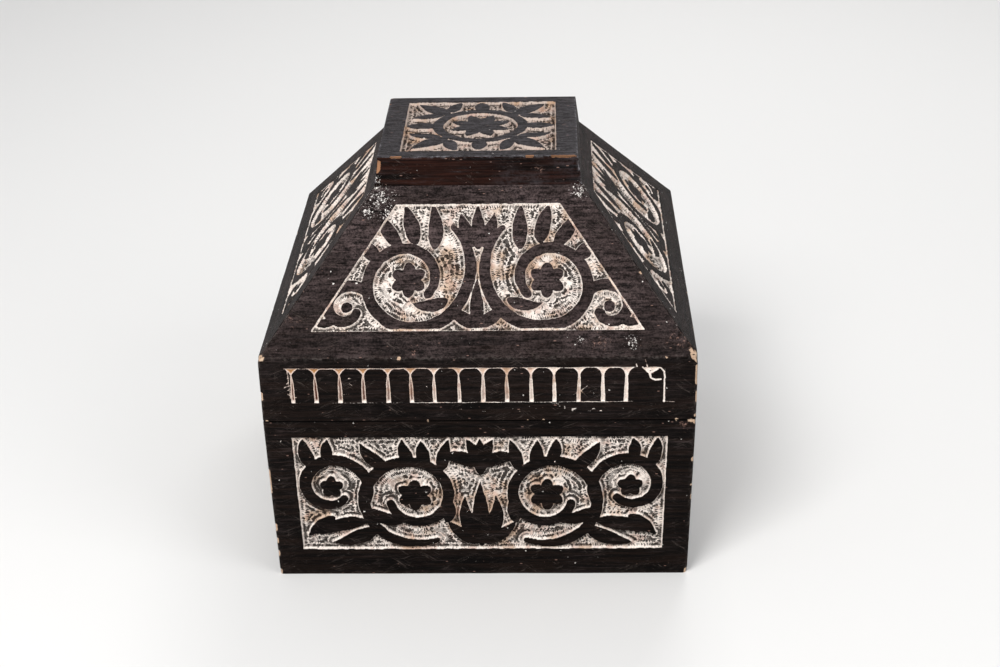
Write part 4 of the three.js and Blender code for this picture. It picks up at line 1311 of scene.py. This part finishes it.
def screw(at, long, upper, turn):
    """The head is a grid whose columns are chords of a disc, closer at the slot's sides. Columns in the slot
    lie lower and reach no further than the cone. Loops go on down the cone, the shank and the point."""
    chords = SCREW_HEAD * np.sin(np.linspace(-1.44, 1.44, 17))
    slot_sides = [sign * SLOT_HALF + hair for sign in (-1, 1) for hair in (-0.015, 0.015)]
    clear = chords[np.abs(np.abs(chords) - SLOT_HALF) > 0.1]
    x, share = np.meshgrid(np.sort(np.concatenate([clear, slot_sides])), np.sin(np.linspace(-1.57, 1.57, 13)))
    sink = SLOT_DEPTH * (np.abs(x) < SLOT_HALF)
    y = share * np.sqrt((SCREW_HEAD - sink) ** 2 - x ** 2)
    edge = 0.12 * smooth_step(np.hypot(x, y), SCREW_HEAD - 0.35, SCREW_HEAD)
    head = on_face(x, y, -np.maximum(sink, edge))
    shell = Shell(head, head)
    rim = shell.points[0][shell.rim, :2]
    around = rim / np.linalg.norm(rim, axis=1, keepdims=True)
    for radius, z in ((SCREW_SHANK, -SCREW_CONE), (SCREW_SHANK, 2.5 - long), (0.15, 0.1 - long)):
        shell.loop(at_height(radius * around, z))
    shell.close((0.0, 0.0, -long))
    x, y, z = shell.joined_points().T
    cosine, sine = math.cos(turn), math.sin(turn)
    shape = on_face(cosine * x - sine * y + at[0], sine * x + cosine * y + at[1], z + at[2]), shell.faces
    return mirrored_shape(shape, 2, at[2]) if upper else shape

# %% Brass parts
def brass_piece(node_name, shape):
    """A smooth mesh of a shape, with sharp edges where its faces meet at more than an angle."""
    vertices, faces = shape
    smooth_faces = sum(len(group) for group in faces)
    piece = make_mesh("brass_" + node_name, vertices, faces, {}, smooth_faces)
    piece.data.set_sharp_from_angle(angle=math.radians(SHARP))
    return piece


fittings = {}
steady_turns = np.random.default_rng(41)
for side in ("left", "right"):
    name = f"hinge_pin_{side}"
    low, high = box_mm(name)
    middle = (low[0] + high[0]) / 2
    fittings[name] = brass_piece(name, pin(middle))
    for owner in ("case", "lid"):
        upper = owner == "lid"
        holes = []
        for number in (1, 2):
            name = f"screw_{owner}_{side}_{number}"
            low, high = box_mm(name)
            at = np.array([(low[0] + high[0]) / 2, (low[1] + high[1]) / 2, low[2] if upper else high[2]])
            holes.append(at)
            turn = steady_turns.uniform(0, np.pi)
            fittings[name] = brass_piece(name, screw(at, high[2] - low[2], upper, turn))
        name = f"hinge_leaf_{owner}_{side}"
        fittings[name] = brass_piece(name, hinge_leaf(middle, holes, upper))
print("brass parts", len(fittings), "faces", sum(len(piece.data.polygons) for piece in fittings.values()))

# %% [markdown]
# ## Finishes
# The finish is one material with masks: stained wood, whitened ground with gouge marks, bare wood where
# the stain is gone, and plain wood inside. Small node groups hold the effects that more than one part needs.

# %% Node helpers
def new_group(name, inputs, outputs):
    """A shader node group, with its input and output nodes."""
    group = bpy.data.node_groups.new(name, "ShaderNodeTree")
    for label, kind, default in inputs:
        socket = group.interface.new_socket(label, in_out="INPUT", socket_type=kind)
        if default is not None:
            socket.default_value = default
    for label, kind in outputs:
        group.interface.new_socket(label, in_out="OUTPUT", socket_type=kind)
    return group, group.nodes.new("NodeGroupInput"), group.nodes.new("NodeGroupOutput")


FLOAT, VECTOR = "NodeSocketFloat", "NodeSocketVector"


def connect(tree, target, links):
    """Links or sets a node's inputs by name or number."""
    for key, value in links.items():
        if isinstance(value, bpy.types.NodeSocket):
            tree.links.new(value, target.inputs[key])
        else:
            target.inputs[key].default_value = value


def node(tree, kind, links=None, **settings):
    """Adds a node, sets its properties, and links or sets its inputs."""
    made = tree.nodes.new(kind)
    for key, value in settings.items():
        setattr(made, key, value)
    connect(tree, made, links or {})
    return made


def maths(tree, operation, first, second=0.0, third=0.0):
    return node(tree, "ShaderNodeMath", {0: first, 1: second, 2: third}, operation=operation).outputs[0]


def plus(tree, first, *others):
    for other in others:
        first = maths(tree, "ADD", first, other)
    return first


def minus(tree, first, second):
    return maths(tree, "SUBTRACT", first, second)


def times(tree, first, *others):
    for other in others:
        first = maths(tree, "MULTIPLY", first, other)
    return first


def larger(tree, first, second):
    return maths(tree, "MAXIMUM", first, second)


def split(tree, vector):
    """The three numbers of a vector."""
    return node(tree, "ShaderNodeSeparateXYZ", {0: vector}).outputs


def vector_of(tree, x=0.0, y=0.0, z=0.0):
    return node(tree, "ShaderNodeCombineXYZ", {0: x, 1: y, 2: z}).outputs[0]


def vectors(tree, operation, first, second):
    """Two vectors added or multiplied."""
    return node(tree, "ShaderNodeVectorMath", {0: first, 1: second}, operation=operation).outputs[0]

# %% Pattern and colour helpers
def ramp(tree, value, low, high):
    """A smooth step from 0 at low to 1 at high."""
    made = node(tree, "ShaderNodeMapRange", {"Value": value, "From Min": low, "From Max": high},
                interpolation_type="SMOOTHSTEP")
    return made.outputs["Result"]


def mixed(tree, factor, first, second):
    """A mix of two colours, each a socket or three numbers."""
    first, second = ((*colour, 1.0) if isinstance(colour, tuple) else colour for colour in (first, second))
    return node(tree, "ShaderNodeMix", {0: factor, 6: first, 7: second}, data_type="RGBA").outputs[2]


def painted(tree, colour, *coats):
    """A colour with coats over it. Each coat is a mask and a colour."""
    for mask, coat in coats:
        colour = mixed(tree, mask, colour, coat)
    return colour


def texture(tree, vector, scale, detail=4.0, roughness=0.55, stretch=None):
    """A noise texture on a vector in millimetres, with scale in features a millimetre."""
    if stretch is not None:
        vector = vectors(tree, "MULTIPLY", vector, stretch)
    links = {"Vector": vector, "Scale": scale, "Detail": detail, "Roughness": roughness}
    return node(tree, "ShaderNodeTexNoise", links).outputs["Fac"]


def centred(tree, place, scale, detail=2.0):
    """Noise about 0."""
    return minus(tree, texture(tree, place, scale, detail), 0.5)


def wobbled(tree, value, place, scale, amount, detail=2.0):
    """A value moved to and fro by a noise."""
    return plus(tree, value, times(tree, centred(tree, place, scale, detail), amount))


def bumped(tree, height, strength, distance):
    """The normal that a height gives, with the distance in metres."""
    links = {"Height": height, "Strength": strength, "Distance": distance}
    return node(tree, "ShaderNodeBump", links).outputs[0]


def attribute(tree, name, output="Vector"):
    return node(tree, "ShaderNodeAttribute", attribute_name=name).outputs[output]


def effect(tree, group, **links):
    """The outputs of a shared group that is placed in a material."""
    placed = node(tree, "ShaderNodeGroup", node_tree=group)
    connect(tree, placed, links)
    return placed.outputs


def new_material(name):
    """A material, its node tree and its Principled shader."""
    material = bpy.data.materials.new(name)
    material.use_nodes = True
    return material, material.node_tree, material.node_tree.nodes["Principled BSDF"]

# %% [markdown]
# ### Grain
# Grain runs along each board, so its pattern is squeezed along the board and stretched across it. A slow
# noise bends it. The group gives light and dark streaks and a fine height for the bump.

# %% Grain group
def make_grain():
    group, inside, outside = new_group(
        "wood_grain",
        [("Place", VECTOR, None), ("Bend", FLOAT, 3.0)],
        [("Streak", FLOAT), ("Fibre", FLOAT)])
    place = inside.outputs["Place"]
    bend = times(group, texture(group, place, 0.02, 2.0), inside.outputs["Bend"])
    bent = vectors(group, "ADD", place, vector_of(group, y=bend, z=bend))
    connect(group, outside, {
        "Streak": texture(group, bent, 1.0, 5.0, 0.6, stretch=(0.012, 0.42, 0.42)),
        "Fibre": texture(group, bent, 1.0, 3.0, 0.6, stretch=(0.09, 2.4, 2.4)),
    })
    return group


GRAIN = make_grain()
print(GRAIN.name, "nodes", len(GRAIN.nodes))

# %% [markdown]
# ### Gouge marks
# In the ground the gouge leaves short dark nicks in rows, square to the outlines. The run along an outline
# and the distance from it are a pattern space. It is cut into cells, one nick in each, and a white noise
# gives every cell its own shift, slant and width. A slow noise leaves some places clean and others black.

# %% Gouge group
NICK_PITCH = 1.75       # mm between nicks along a row
NICK_ROW = 3.2          # mm between rows


def make_gouges():
    group, inside, outside = new_group(
        "gouge_marks",
        [("Cut", VECTOR, None), ("Place", VECTOR, None)],
        [("Mark", FLOAT), ("Patch", FLOAT)])
    place = inside.outputs["Place"]
    run, distance, heavy = split(group, inside.outputs["Cut"])
    across = maths(group, "DIVIDE", wobbled(group, distance, place, 0.30, 3.2), NICK_ROW)
    row = maths(group, "FLOOR", across)
    along = maths(group, "DIVIDE", wobbled(group, run, place, 0.22, 4.0), NICK_PITCH)
    along = plus(group, along, times(group, row, 0.37))
    cell = vector_of(group, x=maths(group, "FLOOR", along), y=row)
    chance = node(group, "ShaderNodeTexWhiteNoise", {"Vector": cell}, noise_dimensions="3D")
    dice = split(group, chance.outputs["Color"])
    y = minus(group, maths(group, "FRACT", across), 0.5)
    slant = times(group, centred(group, place, 0.06), 3.2)
    slant = plus(group, slant, times(group, minus(group, dice[0], 0.5), 0.9))
    x = minus(group, maths(group, "FRACT", along), 0.5)
    x = maths(group, "ABSOLUTE", plus(group, x, times(group, slant, y)))
    patch = texture(group, place, 0.07, 3.0)
    width = maths(group, "MULTIPLY_ADD", patch, 2.0, -0.68)
    width = plus(group, width, heavy, times(group, dice[1], 0.16))
    taper = maths(group, "POWER", times(group, maths(group, "ABSOLUTE", y), 2.15), 2.0)
    width = times(group, width, larger(group, minus(group, 1.0, taper), 0.0))
    room = minus(group, wobbled(group, width, place, 1.4, 0.30), x)
    strength = maths(group, "MULTIPLY_ADD", ramp(group, dice[2], 0.0, 0.40), 0.65, 0.35)
    connect(group, outside, {"Mark": times(group, ramp(group, room, -0.05, 0.06), strength), "Patch": patch})
    return group


GOUGES = make_gouges()
print(GOUGES.name, "nodes", len(GOUGES.nodes))

# %% [markdown]
# ### Specks and rubs
# Old stained wood has pale specks where grit or plaster caught, and rubbed places where the stain is thin.
# Voronoi cells make the specks: a cell shows as a small dot if its random number is high enough, and the
# grit attribute lowers the bar. Where there is much grit, the peaks of a rough noise add flecks.

# %% Speck group
SPECK_BAR = 0.972       # the share of cells that stay empty
DENT_BAR = 0.90


def dots(tree, vector, scale, bar, growth, least, low, high):
    """Dots in Voronoi cells. A cell whose first random number is over the bar has one. It is the least size
    large, and more by what growth makes of the cell's second random number."""
    cells = node(tree, "ShaderNodeTexVoronoi", {"Vector": vector, "Scale": scale})
    dice = split(tree, cells.outputs["Color"])
    size = plus(tree, growth(dice[1]), least)
    dot = ramp(tree, minus(tree, size, cells.outputs["Distance"]), low, high)
    return times(tree, dot, maths(tree, "GREATER_THAN", dice[0], bar))


def make_specks():
    group, inside, outside = new_group(
        "specks",
        [("Place", VECTOR, None), ("Grit", FLOAT, 0.0)],
        [("Speck", FLOAT), ("Rub", FLOAT)])
    place, grit = inside.outputs["Place"], inside.outputs["Grit"]
    shift = vector_of(group, x=times(group, centred(group, place, 1.1, 3.0), 2.4),
                      y=times(group, centred(group, place, 1.3, 3.0), 2.4))
    largest = maths(group, "MULTIPLY_ADD", grit, 0.12, 0.22)
    bar = minus(group, SPECK_BAR, times(group, grit, 0.6))
    dot = dots(group, vectors(group, "ADD", place, shift), 0.6, bar,
               lambda chance: times(group, maths(group, "POWER", chance, 2.0), largest),
               maths(group, "MULTIPLY_ADD", grit, 0.04, 0.05), -0.03, 0.04)
    flecks = plus(group, texture(group, place, 0.80, 5.0, 0.72), times(group, grit, 0.15))
    flecks = times(group, ramp(group, flecks, 0.665, 0.69), ramp(group, grit, 0.0, 0.25))
    patch = texture(group, place, 0.03, 3.0)
    scratch = texture(group, place, 1.0, 4.0, 0.7, stretch=(0.05, 0.9, 0.9))
    connect(group, outside, {
        "Speck": larger(group, dot, flecks),
        "Rub": times(group, ramp(group, scratch, 0.52, 0.75), ramp(group, patch, 0.42, 0.62)),
    })
    return group


SPECKS = make_specks()
print(SPECKS.name, "nodes", len(SPECKS.nodes))

# %% [markdown]
# ### Scratches
# Handling leaves hairlines and small dents. A hairline runs where a drawn-out noise crosses its middle
# value, and a dent is a long thin cell. Both lie on coordinates that are turned by some degrees.

# %% Scratch group
def make_scratches():
    group, inside, outside = new_group(
        "scratches",
        [("Place", VECTOR, None)],
        [("Hairline", FLOAT), ("Dent", FLOAT)])
    place = inside.outputs["Place"]

    def slanted(degrees, **settings):
        links = {"Vector": place, "Rotation": (0.0, 0.0, math.radians(degrees)), **settings}
        return node(group, "ShaderNodeMapping", links).outputs[0]

    lines = []
    for degrees, shift, spacing in ((-21.0, 0.0, 0.75), (34.0, 300.0, 0.55)):
        turn = slanted(degrees, Location=(shift, 0.0, 0.0))
        field = texture(group, turn, 1.0, 2.0, 0.5, stretch=(0.035, spacing, 0.5))
        near = maths(group, "ABSOLUTE", minus(group, field, 0.5))
        line = minus(group, 1.0, ramp(group, near, 0.002, 0.014))
        where = ramp(group, texture(group, turn, 1.0, 3.0, stretch=(0.05, 0.11, 0.11)), 0.54, 0.62)
        lines.append(times(group, line, where))
    dent = dots(group, slanted(14, Scale=(0.32, 1.15, 1.0)), 0.62, DENT_BAR,
                lambda chance: times(group, chance, 0.16), 0.05, -0.02, 0.05)
    connect(group, outside, {"Hairline": larger(group, *lines), "Dent": dent})
    return group


SCRATCHED = make_scratches()
print(SCRATCHED.name, "nodes", len(SCRATCHED.nodes))

# %% [markdown]
# ### The carved wood
# One material covers a whole board. The masks on its vertices choose between stain, pale ground, bare wood
# and plain wood inside. The block on top has more red in its stain, so some colours are a look of its own.

# %% Colours of the carved wood
STAIN_DEEP = (0.0012, 0.0007, 0.0005)
# pale fibres of the grain, with a sheen painted on them
FIBRE_PALE_AND_SHEEN = (0.062, 0.044, 0.037)
# The film of dust and painted sheen goes from this dark colour to each look's paler one.
DUST_AND_SHEEN_DARK = (0.0050, 0.0034, 0.0034)
HAIRLINE = (0.105, 0.082, 0.072)
CREAM_SHADE = (0.36, 0.25, 0.19)
SCUFF = (0.42, 0.25, 0.20)
OCHRE = (0.48, 0.25, 0.10)
PINK = (0.58, 0.37, 0.29)
GROOVE_BROWN = (0.11, 0.042, 0.028)
GROOVE_TAN = (0.56, 0.38, 0.29)
NICK = (0.007, 0.004, 0.003)
BARE_DARK = (0.30, 0.14, 0.08)
PLAIN_WOOD = (0.155, 0.082, 0.045)
PLAIN_DARK = (0.085, 0.042, 0.024)
SPECK = (0.90, 0.85, 0.79)
# Each look gives a colour for the dust with its painted sheen, and one for the highlight painted along the
# worn arrises.
BOARD_LOOK = SimpleNamespace(
    warm=(0.0090, 0.0046, 0.0030), dust_and_sheen=(0.120, 0.086, 0.083), worn_arris_highlight=(0.150, 0.125, 0.115),
    cream=(0.95, 0.85, 0.77), bare=(0.92, 0.72, 0.52), mottling=0.8)
BLOCK_LOOK = SimpleNamespace(
    warm=(0.028, 0.0092, 0.0060), dust_and_sheen=(0.070, 0.063, 0.068), worn_arris_highlight=(0.330, 0.320, 0.340),
    cream=(0.62, 0.51, 0.44), bare=(0.50, 0.26, 0.13), mottling=0.45)

# %% What the finish goes by
def face_inputs(tree, mottling):
    """What the finish goes by: the numbers that the vertices carry, and the shared effects."""
    place, cut = attribute(tree, "board"), attribute(tree, "cut")
    _, distance, rise = split(tree, cut)
    bare, grit, scuff = split(tree, attribute(tree, "wear"))
    inner, dust_and_sheen, groove = split(tree, attribute(tree, "kind"))
    return SimpleNamespace(
        place=place, distance=distance, rise=rise, bare=bare, scuff=scuff, inner=inner, dust_and_sheen=dust_and_sheen,
        groove=groove, arris_wear_and_light=attribute(tree, "arris_wear_and_light", "Fac"),
        mottle=texture(tree, place, mottling, 5.0, 0.75),
        grain=effect(tree, GRAIN, Place=place), gouges=effect(tree, GOUGES, Place=place, Cut=cut),
        specks=effect(tree, SPECKS, Place=place, Grit=grit), scratched=effect(tree, SCRATCHED, Place=place))

# %% Stained wood
def stained(tree, face, look, streak):
    """Dark stain with warm streaks and pale fibre streaks that carry a painted sheen, under a dusty veil with
    a painted sheen that sits in the pores, worn places, a highlight painted along the worn arrises,
    scratches, scuffs and specks, and painted shade along the seam where the arris light is below 0."""
    place, fibre = face.place, face.grain["Fibre"]
    # Pale fibres with a painted sheen, stronger where there is more dust and painted sheen.
    pale_fibre_and_sheen = times(tree, ramp(tree, fibre, 0.52, 0.74), maths(tree, "MULTIPLY_ADD", face.dust_and_sheen, 0.32, 0.22))
    smear = texture(tree, place, 1.0, 4.0, 0.7, stretch=(0.09, 0.42, 0.42))
    pores = plus(tree, times(tree, face.mottle, 0.45), times(tree, smear, 0.40), times(tree, fibre, 0.15))
    film = mixed(tree, ramp(tree, pores, 0.42, 0.60), DUST_AND_SHEEN_DARK, look.dust_and_sheen)
    clouds = plus(tree, texture(tree, place, 0.030, 4.0, 0.6), times(tree, face.grain["Streak"], 0.5))
    clouds = maths(tree, "MULTIPLY_ADD", ramp(tree, clouds, 0.58, 0.92), 0.60, 0.42)
    # A highlight painted over the worn stain along the arrises, broken by a noise.
    worn_arris_highlight_mask = times(tree, face.arris_wear_and_light, ramp(tree, texture(tree, place, 0.30, 4.0, 0.7), 0.46, 0.66))
    thin = plus(tree, texture(tree, place, 0.5, 5.0, 0.75), times(tree, face.scuff, 0.20))
    return painted(
        tree, mixed(tree, streak, STAIN_DEEP, look.warm),
        # dust with a painted sheen over the stain, in clouds
        (pale_fibre_and_sheen, FIBRE_PALE_AND_SHEEN),
        (times(tree, face.dust_and_sheen, clouds), film),
        (times(tree, face.specks["Rub"], 0.35), look.dust_and_sheen),
        # painted highlight along the worn arrises
        (times(tree, worn_arris_highlight_mask, 0.8), look.worn_arris_highlight),
        (times(tree, face.scratched["Hairline"], 0.55), HAIRLINE),
        (times(tree, face.scratched["Dent"], 0.6), SCUFF),
        (times(tree, ramp(tree, thin, 0.66, 0.80), 0.8), SCUFF),
        (face.specks["Speck"], SPECK),
        # painted shade along the seam, where the arris light is below 0
        (ramp(tree, times(tree, face.arris_wear_and_light, -1.0), 0.25, 0.48), STAIN_DEEP))

# %% Whitened ground
def whitened(tree, face, look, in_groove):
    """Pale ground with shaded hollows, ochre and pink stains and dark nicks. The arcade has a tan cast, and
    a line along the bottom of its grooves that is brown in a pillar and ochre in a spandrel. Returns the
    colour and the mask of the nicks."""
    place = face.place
    nicks = times(tree, face.gouges["Mark"], ramp(tree, face.distance, 0.45, 1.2))
    pecks = times(tree, ramp(tree, texture(tree, place, 1.0, 2.0, 0.6), 0.57, 0.62),
                  ramp(tree, face.gouges["Patch"], 0.36, 0.56), ramp(tree, face.distance, 0.2, 0.5))
    mark = times(tree, larger(tree, nicks, pecks), minus(tree, 1.0, in_groove))
    brown = larger(tree, minus(tree, face.groove, 1.0), 0.0)
    wavering = wobbled(tree, face.distance, place, 0.8, 0.7, 3.0)
    return painted(
        tree, look.cream,
        (times(tree, ramp(tree, texture(tree, place, 0.7, 5.0, 0.75), 0.53, 0.70), 0.70), CREAM_SHADE),
        (times(tree, ramp(tree, texture(tree, place, 0.045, 4.0, 0.6), 0.52, 0.64), 0.6), OCHRE),
        (times(tree, ramp(tree, texture(tree, place, 0.10, 3.0, 0.6), 0.53, 0.66), 0.55), PINK),
        (times(tree, mark, 0.95), NICK),
        (times(tree, brown, 0.6), GROOVE_TAN),
        (times(tree, ramp(tree, wavering, 0.62, 0.90), brown),
         mixed(tree, ramp(tree, face.rise, 0.0, 0.3), GROOVE_BROWN, OCHRE))), mark

# %% Carved wood
def carved_wood(name, look):
    """The material of a carved board: stain and ground, over them bare wood, and plain wood inside."""
    material, tree, shader = new_material(name)
    face = face_inputs(tree, look.mottling)
    streak = ramp(tree, face.grain["Streak"], 0.40, 0.66)
    in_groove = ramp(tree, face.groove, 0.2, 0.6)
    pale, mark = whitened(tree, face, look, in_groove)
    edge = plus(tree, wobbled(tree, face.distance, face.place, 1.1, 0.5, 3.0), times(tree, in_groove, 0.06))
    ground = ramp(tree, edge, 0.0, 0.22)
    ragged = plus(tree, texture(tree, face.place, 0.8, 3.0, 0.7), 0.35)
    within = ramp(tree, face.inner, 0.25, 0.60)
    colour = painted(
        tree, stained(tree, face, look, streak),
        (ground, pale),
        (ramp(tree, times(tree, face.bare, ragged), 0.42, 0.58),
         mixed(tree, texture(tree, face.place, 0.4, 3.0), look.bare, BARE_DARK)),
        (within, mixed(tree, streak, PLAIN_WOOD, PLAIN_DARK)))
    roughness = maths(tree, "MULTIPLY_ADD", face.mottle, 0.7, 0.18)
    roughness = larger(tree, larger(tree, roughness, times(tree, ground, 0.85)), times(tree, within, 0.7))
    height = plus(tree, times(tree, face.grain["Fibre"], 0.8), times(tree, face.mottle, 0.9))
    height = minus(tree, height, times(tree, mark, ground))
    height = minus(tree, height, times(tree, face.scratched["Hairline"], 0.3))
    connect(tree, shader, {
        "Base Color": colour,
        "Roughness": roughness,
        "Specular IOR Level": 0.05,
        "Normal": bumped(tree, height, 0.85, 0.0006),
    })
    print(name, "nodes", len(tree.nodes))
    return material


CARVED = carved_wood("carved_stained_wood", BOARD_LOOK)
BLOCK = carved_wood("red_stained_block", BLOCK_LOOK)

# %% [markdown]
# ## Plain parts
# The bottom board keeps its solid and gets plain wood on object coordinates. The brass is dull, brown in
# patches that a noise lays out, and brighter, rubbed brass between them.

# %% Plain wood and brass
PLAIN_BLOTCH = (0.06, 0.035, 0.022)
BRASS_RUBBED = (0.46, 0.32, 0.14)
BRASS_BROWN = (0.22, 0.145, 0.07)


def object_place(tree):
    """Object coordinates in millimetres."""
    coordinates = node(tree, "ShaderNodeTexCoord").outputs["Object"]
    return vectors(tree, "MULTIPLY", coordinates, (1 / MM, 1 / MM, 1 / MM))


def plain_wood():
    material, tree, shader = new_material("plain_wood")
    place = object_place(tree)
    grain = effect(tree, GRAIN, Place=place)
    blotch = ramp(tree, texture(tree, place, 0.03, 4.0), 0.5, 0.7)
    connect(tree, shader, {
        "Base Color": painted(
            tree, PLAIN_WOOD,
            (ramp(tree, grain["Streak"], 0.38, 0.68), PLAIN_DARK),
            (times(tree, blotch, 0.5), PLAIN_BLOTCH)),
        "Roughness": plus(tree, times(tree, grain["Fibre"], 0.25), 0.55),
        "Normal": bumped(tree, grain["Fibre"], 0.4, 0.0003),
    })
    return material


def aged_brass():
    material, tree, shader = new_material("aged_brass")
    place = object_place(tree)
    tarnish = ramp(tree, texture(tree, place, 0.35, 4.0, 0.6), 0.42, 0.72)
    scratch = texture(tree, place, 1.0, 3.0, 0.6, stretch=(0.3, 3.0, 3.0))
    connect(tree, shader, {
        "Base Color": mixed(tree, tarnish, BRASS_RUBBED, BRASS_BROWN),
        "Metallic": 1.0,
        "Roughness": plus(tree, times(tree, tarnish, 0.3), 0.28),
        "Normal": bumped(tree, scratch, 0.25, 0.0002),
    })
    return material


PLAIN = plain_wood()
BRASS = aged_brass()
print("materials", len(bpy.data.materials), "shared groups", len(bpy.data.node_groups))

# %% Give every part its finish and its body
bodies = frame["record"]["behaviour"]["bodies"]
body_of = {member: body for body, members in bodies.items() for member in members}
for solid, piece in [*boards.items(), *fittings.items()]:
    is_brass = solid in fittings
    piece.data.materials.append(BRASS if is_brass else BLOCK if solid == "cap_block" else CARVED)
    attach(piece, body_of[solid])
    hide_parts(solid)
nodes["bottom_board"].data.materials.clear()
nodes["bottom_board"].data.materials.append(PLAIN)
print("carved pieces", len(boards), "brass pieces", len(fittings))

# %% [markdown]
# ## Floor and light
# A pale floor that curves up behind, a large soft lamp from the upper left front, a weaker one from the
# right and another from above behind. The world gives an even pale surrounding.

# %% Floor
FLOOR_FRONT = -3.0      # all in metres
FLOOR_BACK = 1.6        # where the curve begins
FLOOR_CURVE = 0.8
FLOOR_TOP = 2.6
FLOOR_HALF = 4.0
FLOOR_PALE = (0.80, 0.79, 0.77)


def make_floor():
    """A sheet whose profile runs level, then through a quarter circle, then straight up."""
    angle = np.linspace(0, np.pi / 2, 24)
    y = np.concatenate([[FLOOR_FRONT], FLOOR_BACK + FLOOR_CURVE * np.sin(angle), [FLOOR_BACK + FLOOR_CURVE]])
    z = np.concatenate([[0.0], FLOOR_CURVE * (1 - np.cos(angle)), [FLOOR_TOP]])
    sheet = on_face(np.array([-FLOOR_HALF, FLOOR_HALF]), y[:, None], z[:, None])
    faces = grid_faces(len(y), 2)
    floor = make_mesh("floor", sheet.reshape(-1, 3) / MM, [faces], {}, smooth_faces=len(faces))
    material, tree, shader = new_material("floor")
    connect(tree, shader, {"Base Color": (*FLOOR_PALE, 1.0), "Roughness": 0.9})
    floor.data.materials.append(material)
    return floor


floor = make_floor()
print("floor faces", len(floor.data.polygons))

# %% Lamps
LAMPS = {
    # where it hangs, what it points at, its size, all in metres, and its watts
    "key": ((-0.7, -1.35, 1.72), (0.0, 0.0, 0.12), 0.9, 35),
    "fill": ((1.5, -1.1, 1.4), (0.0, 0.0, 0.12), 1.2, 11),
    "rear": ((0.3, 1.3, 1.5), (0.0, 0.0, 0.15), 0.8, 11),
}
SKY = (0.93, 0.95, 1.0)
SKY_STRENGTH = 0.45

for name, (at, towards, size, watts) in LAMPS.items():
    lamp = bpy.data.lights.new(name, "AREA")
    lamp.shape = "SQUARE"
    lamp.size = size
    lamp.energy = watts
    back = np.array(at) - np.array(towards)
    back /= np.linalg.norm(back)
    right = np.cross([0.0, 0.0, 1.0], back)
    right /= np.linalg.norm(right)
    set_place(bpy.data.objects.new(name, lamp), (right, np.cross(back, right), back), at)

world = bpy.data.worlds.new("world")
bpy.context.scene.world = world
world.use_nodes = True
background = world.node_tree.nodes["Background"]
connect(world.node_tree, background, {"Color": (*SKY, 1.0), "Strength": SKY_STRENGTH})
bpy.context.scene.view_settings.view_transform = "Standard"
print("lamps", list(LAMPS))
